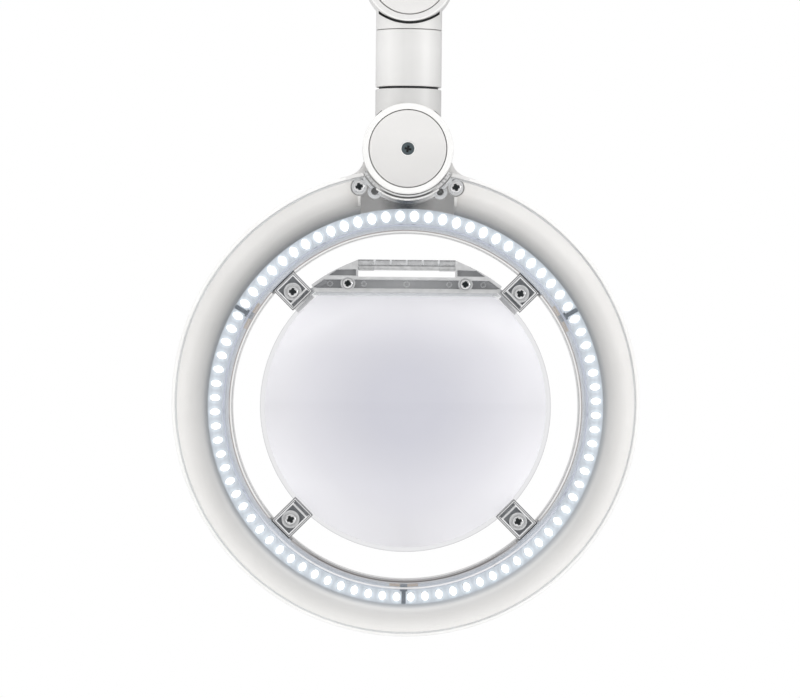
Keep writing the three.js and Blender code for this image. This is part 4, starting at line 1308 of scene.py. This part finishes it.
UPPER = heading(WRIST, ELBOW)
LOWER = heading(ELBOW, SHOULDER)
KNUCKLES = {
    "swivel": (SWIVEL, 0.0, "neck", "neck_foot"),
    "wrist": (WRIST, UPPER, "arm", "upper_arm"),
    "elbow": (ELBOW, LOWER, "arm", "lower_arm"),
    "shoulder": (SHOULDER, 180.0, "post", "post"),
}
for name, (at, turn, kind, body) in KNUCKLES.items():
    shell = NECK if kind == "neck" else HOUSING
    bright_from = 17.0 if kind == "neck" else 19.1

    # a painted highlight round the rolled rim of each cheek
    def on_rim(p, n):
        return abs(p.y) > 14.6 and bright_from < apart(p, at) < CHEEK_R

    cheeks = placed(fork(kind), at, turn)
    show(cheeks, name + "_cheeks", body, shell, [name + "_fork"], zones=[(RIM_HIGHLIGHT, on_rim)])
    front_cap = placed(cap(True), at, turn)

    # a painted highlight round the bolt hole in the front cap
    def on_eye(p, n):
        return apart(p, at) < 3.4

    show(front_cap, name + "_front_cap", body, CAP, [name + "_cap_front"], zones=[(RIM_HIGHLIGHT, on_eye)])
    show(placed(cap(False), at, turn), name + "_rear_cap", body, CAP, [name + "_cap_rear"])

    # painted shade, black down in the cross of the bolt's head
    def in_socket(p, n):
        return -13.1 < p.y < -11 and apart(p, at) < 1.7

    bolt = placed(pivot_bolt(), at, turn)
    show(bolt, name + "_pivot", body, DARK_STEEL, [name + "_bolt"], zones=[(RECESS_SHADE, in_socket)])
    show(placed(pivot_nut(), at, turn), name + "_lock_nut", body, THREAD, [name + "_nut"])

# ---------------------------------------------------------------- neck

low, high = extent("twist_spigot")
top = high.z - 1.3
spigot = lathe([(8, low.z), (12.9, low.z), (12.9, top), (8, top)], ROUND, "Z")
show(spigot, "twist_core", "neck_foot", SPIGOT_AND_GAP_SHADE, ["twist_spigot"])

low, high = extent("neck_sleeve")
bottom, top = low.z - GAP_DROP, high.z
step = bottom + 9.8
profile = [(NECK_BORE_R, bottom), (NECK_R - 0.3, bottom), (NECK_R, bottom + 0.3), (NECK_R, top - 0.15)]
profile += [(NECK_R - 0.15, top), (8, top), (8, step), (NECK_BORE_R, step)]
show(lathe(profile, ROUND, "Z"), "neck_tube", "neck", NECK, ["neck_sleeve"])
reach = WRIST.z - top - 0.3
profile = [(0, 0), (NECK_R, 0), (NECK_R, reach - 0.15), (NECK_R - 0.15, reach), (7.7, reach)]
saddle = tongue(profile + [(7.7, reach + 9), (0, reach + 9)], SADDLE_SEAT_R, SADDLE_FLANK)
# painted shade: the gap round the cheek is painted black at its bottom, on a ledge added to carry it
shade_ledge = cut(disc(21.3, -14, -5.4, segments=ROUND), disc(19.95, -15, -5, segments=ROUND))
shade_ledge = common(shade_ledge, rod_z(NECK_BORE_R, 0, 30, ROUND))
saddle = placed(join(saddle, shade_ledge), WRIST, 180)


# the faces of the gap and its ledge that take the painted shade
def in_gap(p, n):
    away = apart(p, WRIST)
    wall = abs(away - SADDLE_SEAT_R) < 0.12 and abs(n.y) < 0.3
    on_ledge = math.hypot(p.x - WRIST.x, p.y - WRIST.y) < 13.4 and 19.8 < away < 21.2 and n.y < -0.1
    floor = n.y < -0.9 and abs(p.y + SADDLE_FLANK) < 0.05
    return p.y < -5.2 and (wall or on_ledge or floor)


show(saddle, "neck_top", "neck", NECK, ["neck_saddle"], zones=[(SPIGOT_AND_GAP_SHADE, in_gap)])

# ---------------------------------------------------------------- arms


def tube(length):
    """An arm's tube, between the two knuckles that are this far apart."""
    a, b = TUBE_END, length - TUBE_END
    return lathe([(9.6, a), (10.8, a), (11, a + 0.2), (11, b - 0.2), (10.8, b), (9.6, b)], ROUND, "Z")


for name, start, end, turn, end_name in (
    ("upper", WRIST, ELBOW, UPPER, "elbow"),
    ("lower", ELBOW, SHOULDER, LOWER, "shoulder"),
):
    arm = name + "_arm"
    show(placed(tube((end - start).length), start, turn), name + "_tube", arm, ARM, [arm + "_tube"])
    made = placed(tongue(stem_profile("arm")), end, turn + 180)
    show(made, end_name + "_eye", arm, HOUSING, [end_name + "_tongue"])

# ---------------------------------------------------------------- clamp


def clamp_frame():
    """A C-shaped frame with a boss for the post on top and a threaded arm below."""
    low, high = extent("clamp_body")
    foot, boss_top = low.z, high.z
    jaw = foot + 62
    outline = arc(-23, foot + 5, 5, 180, 270, 6)
    outline += arc(18, foot + 4, 4, -90, 0, 6) + arc(20.5, foot + 12.5, 1.5, 0, 90, 4)
    outline += arc(-11, foot + 17, 3, 270, 180, 6) + arc(-11, jaw - 3, 3, 180, 90, 6)
    outline += [(34, jaw), (34, jaw + 7)] + arc(30, jaw + 9, 4, 0, 50, 4)
    outline += arc(18, jaw + 14, 4, 45, 90, 4) + arc(-20, jaw + 10, 8, 90, 180, 8)
    body = prism(outline, -18, 18)
    profile = [(0, jaw + 14), (19, jaw + 14)]
    profile += curve((19, jaw + 18), (16.4, jaw + 18.4), (15.2, jaw + 20), (15.2, jaw + 24), 8)
    profile += [(15.2, boss_top - 0.6), (14.6, boss_top), (0, boss_top)]
    boss = lathe(profile, ROUND, "Z")
    boss = common(boss, block(-30, 30, -17.9, 17.9, jaw + 13, boss_top + 5))
    body = join(body, boss)
    bush_foot = extent("post_bush")[0].z
    screw_hole = move(rod_z(5.25, foot - 1, foot + 15), (SCREW_X - CLAMP_X, 0, 0))
    body = cut(body, rod_z(9.2, bush_foot - 0.3, 0), screw_hole)
    return move(body, (CLAMP_X, 0, 0))


def bush():
    """The flanged sleeve in which the post turns."""
    low, high = extent("post_bush")
    foot, top = low.z, high.z
    flange = extent("clamp_body")[1].z + 0.3
    profile = [(6.8, foot), (9, foot), (9, flange), (13.7, flange), (14, flange + 0.2)]
    profile += [(14, top - 0.2), (13.8, top), (6.8, top)]
    return move(lathe(profile, 96, "Z"), (CLAMP_X, 0, 0))


def threaded(r, z0, z1, pitch, depth):
    """A rod about Z with a helical thread that fades out at both ends."""
    segments, rows = 48, int((z1 - z0) / pitch * 8)
    verts, faces = [(0, 0, z0)], []
    for j in range(rows + 1):
        z = z0 + (z1 - z0) * j / rows
        fade = min(1.0, (z - z0) / 1.5, (z1 - z) / 1.5)
        for i in range(segments):
            a = 2 * math.pi * i / segments
            phase = (z / pitch - i / segments) % 1
            q = r - depth * abs(2 * phase - 1) * max(fade, 0)
            verts.append((q * math.cos(a), q * math.sin(a), z))
    verts.append((0, 0, z1))
    for j in range(rows):
        for i in range(segments):
            k = (i + 1) % segments
            a, b = 1 + j * segments, 1 + (j + 1) * segments
            faces.append([a + i, a + k, b + k, b + i])
    last = len(verts) - 1
    for i in range(segments):
        k = (i + 1) % segments
        faces.append([0, 1 + k, 1 + i])
        faces.append([last, 1 + rows * segments + i, 1 + rows * segments + k])
    return new_object("thread", verts, faces)


low, high = extent("clamp_screw")
stem = threaded(5, low.z, high.z - 5, 4, 0.7)
tip = rod_z(3, high.z - 6, high.z, 48)
spindle = move(merge("screw", [stem, tip]), (SCREW_X, 0, 0))
show(spindle, "spindle_screw", "screw", THREAD, ["clamp_screw"], 50)
show(clamp_frame(), "clamp_frame", "clamp", CLAMP, ["clamp_body"])
show(bush(), "post_collar", "clamp", BLACK, ["post_bush"])


def pad():
    """The round foot that presses up against a table, ringed on its face."""
    t = PAD_TOP
    profile = [(0, t - 7.5)] + curve((6, t - 7.5), (8, t - 5), (13, t - 4), (14, t - 2.6), 8)
    profile += [(14, t - 0.5), (13.5, t), (10.5, t), (10.5, t - 0.4), (9.5, t - 0.4), (9.5, t)]
    profile += [(6, t), (6, t - 0.4), (5, t - 0.4), (5, t), (0, t)]
    return move(cut(lathe(profile, 96, "Z"), rod_z(3.2, t - 9, t - 2.7, 48)), (SCREW_X, 0, 0))


def knob():
    """The screw's handwheel, with six hollows for the fingers."""
    low, high = extent("clamp_knob")
    foot, top = low.z, high.z
    profile = [(0, foot), (14, foot)] + arc(14.5, foot + 2.5, 2.5, -90, 0, 6)
    profile += arc(14.5, top - 5.5, 2.5, 0, 60, 5) + [(9, top), (0, top)]
    hollows = [move(rod_z(5, foot - 5, top + 5, 48), (*polar(21, 90 - 60 * i), 0)) for i in range(6)]
    body = cut(lathe(profile, 96, "Z"), *hollows, rod_z(5.2, foot + 2.7, top + 1, 48))
    return move(body, (SCREW_X, 0, 0))


show(pad(), "clamp_foot", "pad", RUBBER, ["clamp_pad"])
show(knob(), "clamp_handwheel", "screw", BLACK, ["clamp_knob"], 40)

# ---------------------------------------------------------------- nodes kept as they are

for node, look in (("driver_board", CIRCUIT), ("lens_retainer", CLIP)):
    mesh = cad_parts[node].data
    mesh.materials.clear()
    mesh.materials.append(look)

# ---------------------------------------------------------------- stage, light and camera

FLOOR_R = 9000
FADE_FROM, FADE_TO = 0.6, 1.75  # metres from the lens axis over which the floor turns white
CAMERA_AWAY = 2.0  # metres
PICTURE_WIDTH = 0.3496  # metres across the picture, at the lens


def backdrop():
    """A round pale floor under the clamp's lowest point, which fades to white further out."""
    low = (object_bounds()[0].z - HOME.z) / MM - 6
    floor = lathe([(0, low - 4), (FLOOR_R, low - 4), (FLOOR_R, low), (0, low)], 96, "Z")
    floor.name = "floor"
    floor.location = HOME
    g = surface("pale_floor")
    x, y, _ = g.axes()
    base = g.ramp(g.noise(3.0, 3.0), [(0.3, 0.86), (0.7, 0.9)])
    seen = g.math("ADD", g.ray("Camera"), g.ray("Transmission"), clamp=True)
    fade = g.spread(hypot(x, y), FADE_FROM, FADE_TO) * seen
    white = g.get("Emission", "Emission", Strength=1.0)
    shader = g.between(fade, g.principled(Base_Color=base, Roughness=0.8), white)
    floor.data.materials.append(g.done(shader))


def sky():
    """White to the camera; to the lamp, a soft tent that is brightest at the sides."""
    world = bpy.data.worlds.new("studio")
    bpy.context.scene.world = world
    g = Graph(world, "OutputWorld")
    _, y, _ = g.axes("Generated")
    stops = [(0.0, 0.86), (0.45, 1.12), (1.0, (0.62, 0.63, 0.65))]
    tent = g.get("Background", "Background", Color=g.ramp(g.spread(y, -1.0, 1.0), stops), Strength=0.80)
    plain = g.get("Background", "Background", Color=(1.0, 1.0, 1.0), Strength=1.0)
    g.done(g.between(g.ray("Camera"), tent, plain))


def softbox(name, at, target, size, energy, seen_in_gloss=False):
    """A round light, placed and aimed in metres from the lens centre."""
    data = bpy.data.lights.new(name, "AREA")
    data.shape = "DISK"
    data.size = size
    data.energy = energy
    light = added(name, data)
    light.location = HOME + Vector(at)
    light.rotation_euler = (Vector(target) - Vector(at)).to_track_quat("-Z", "Y").to_euler()
    light.visible_glossy = seen_in_gloss
    light.visible_transmission = False


def camera():
    data = bpy.data.cameras.new("camera")
    data.sensor_width = 36
    data.lens = 36 * CAMERA_AWAY / PICTURE_WIDTH
    data.clip_start = 0.05
    data.clip_end = 30
    view = added("camera", data)
    view.location = HOME + Vector((-0.0026, -CAMERA_AWAY, 0.02505))
    view.rotation_euler = (math.radians(90), math.radians(-0.55), 0)
    bpy.context.scene.camera = view


backdrop()
sky()
softbox("key", (0.55, -1.9, 1.1), (0, 0, 0.05), 1.1, 6.5)
softbox("fill", (-1.5, -0.9, 0.5), (0, 0, 0.1), 1.2, 4.5)
softbox("top", (-0.2, 0.3, 1.9), (-0.2, 0, 0), 1.4, 7)
softbox("strip", (1.75, -1.15, 0.25), (0, 0, 0.15), 0.7, 5, seen_in_gloss=True)
camera()
bpy.context.scene.view_settings.view_transform = "Standard"
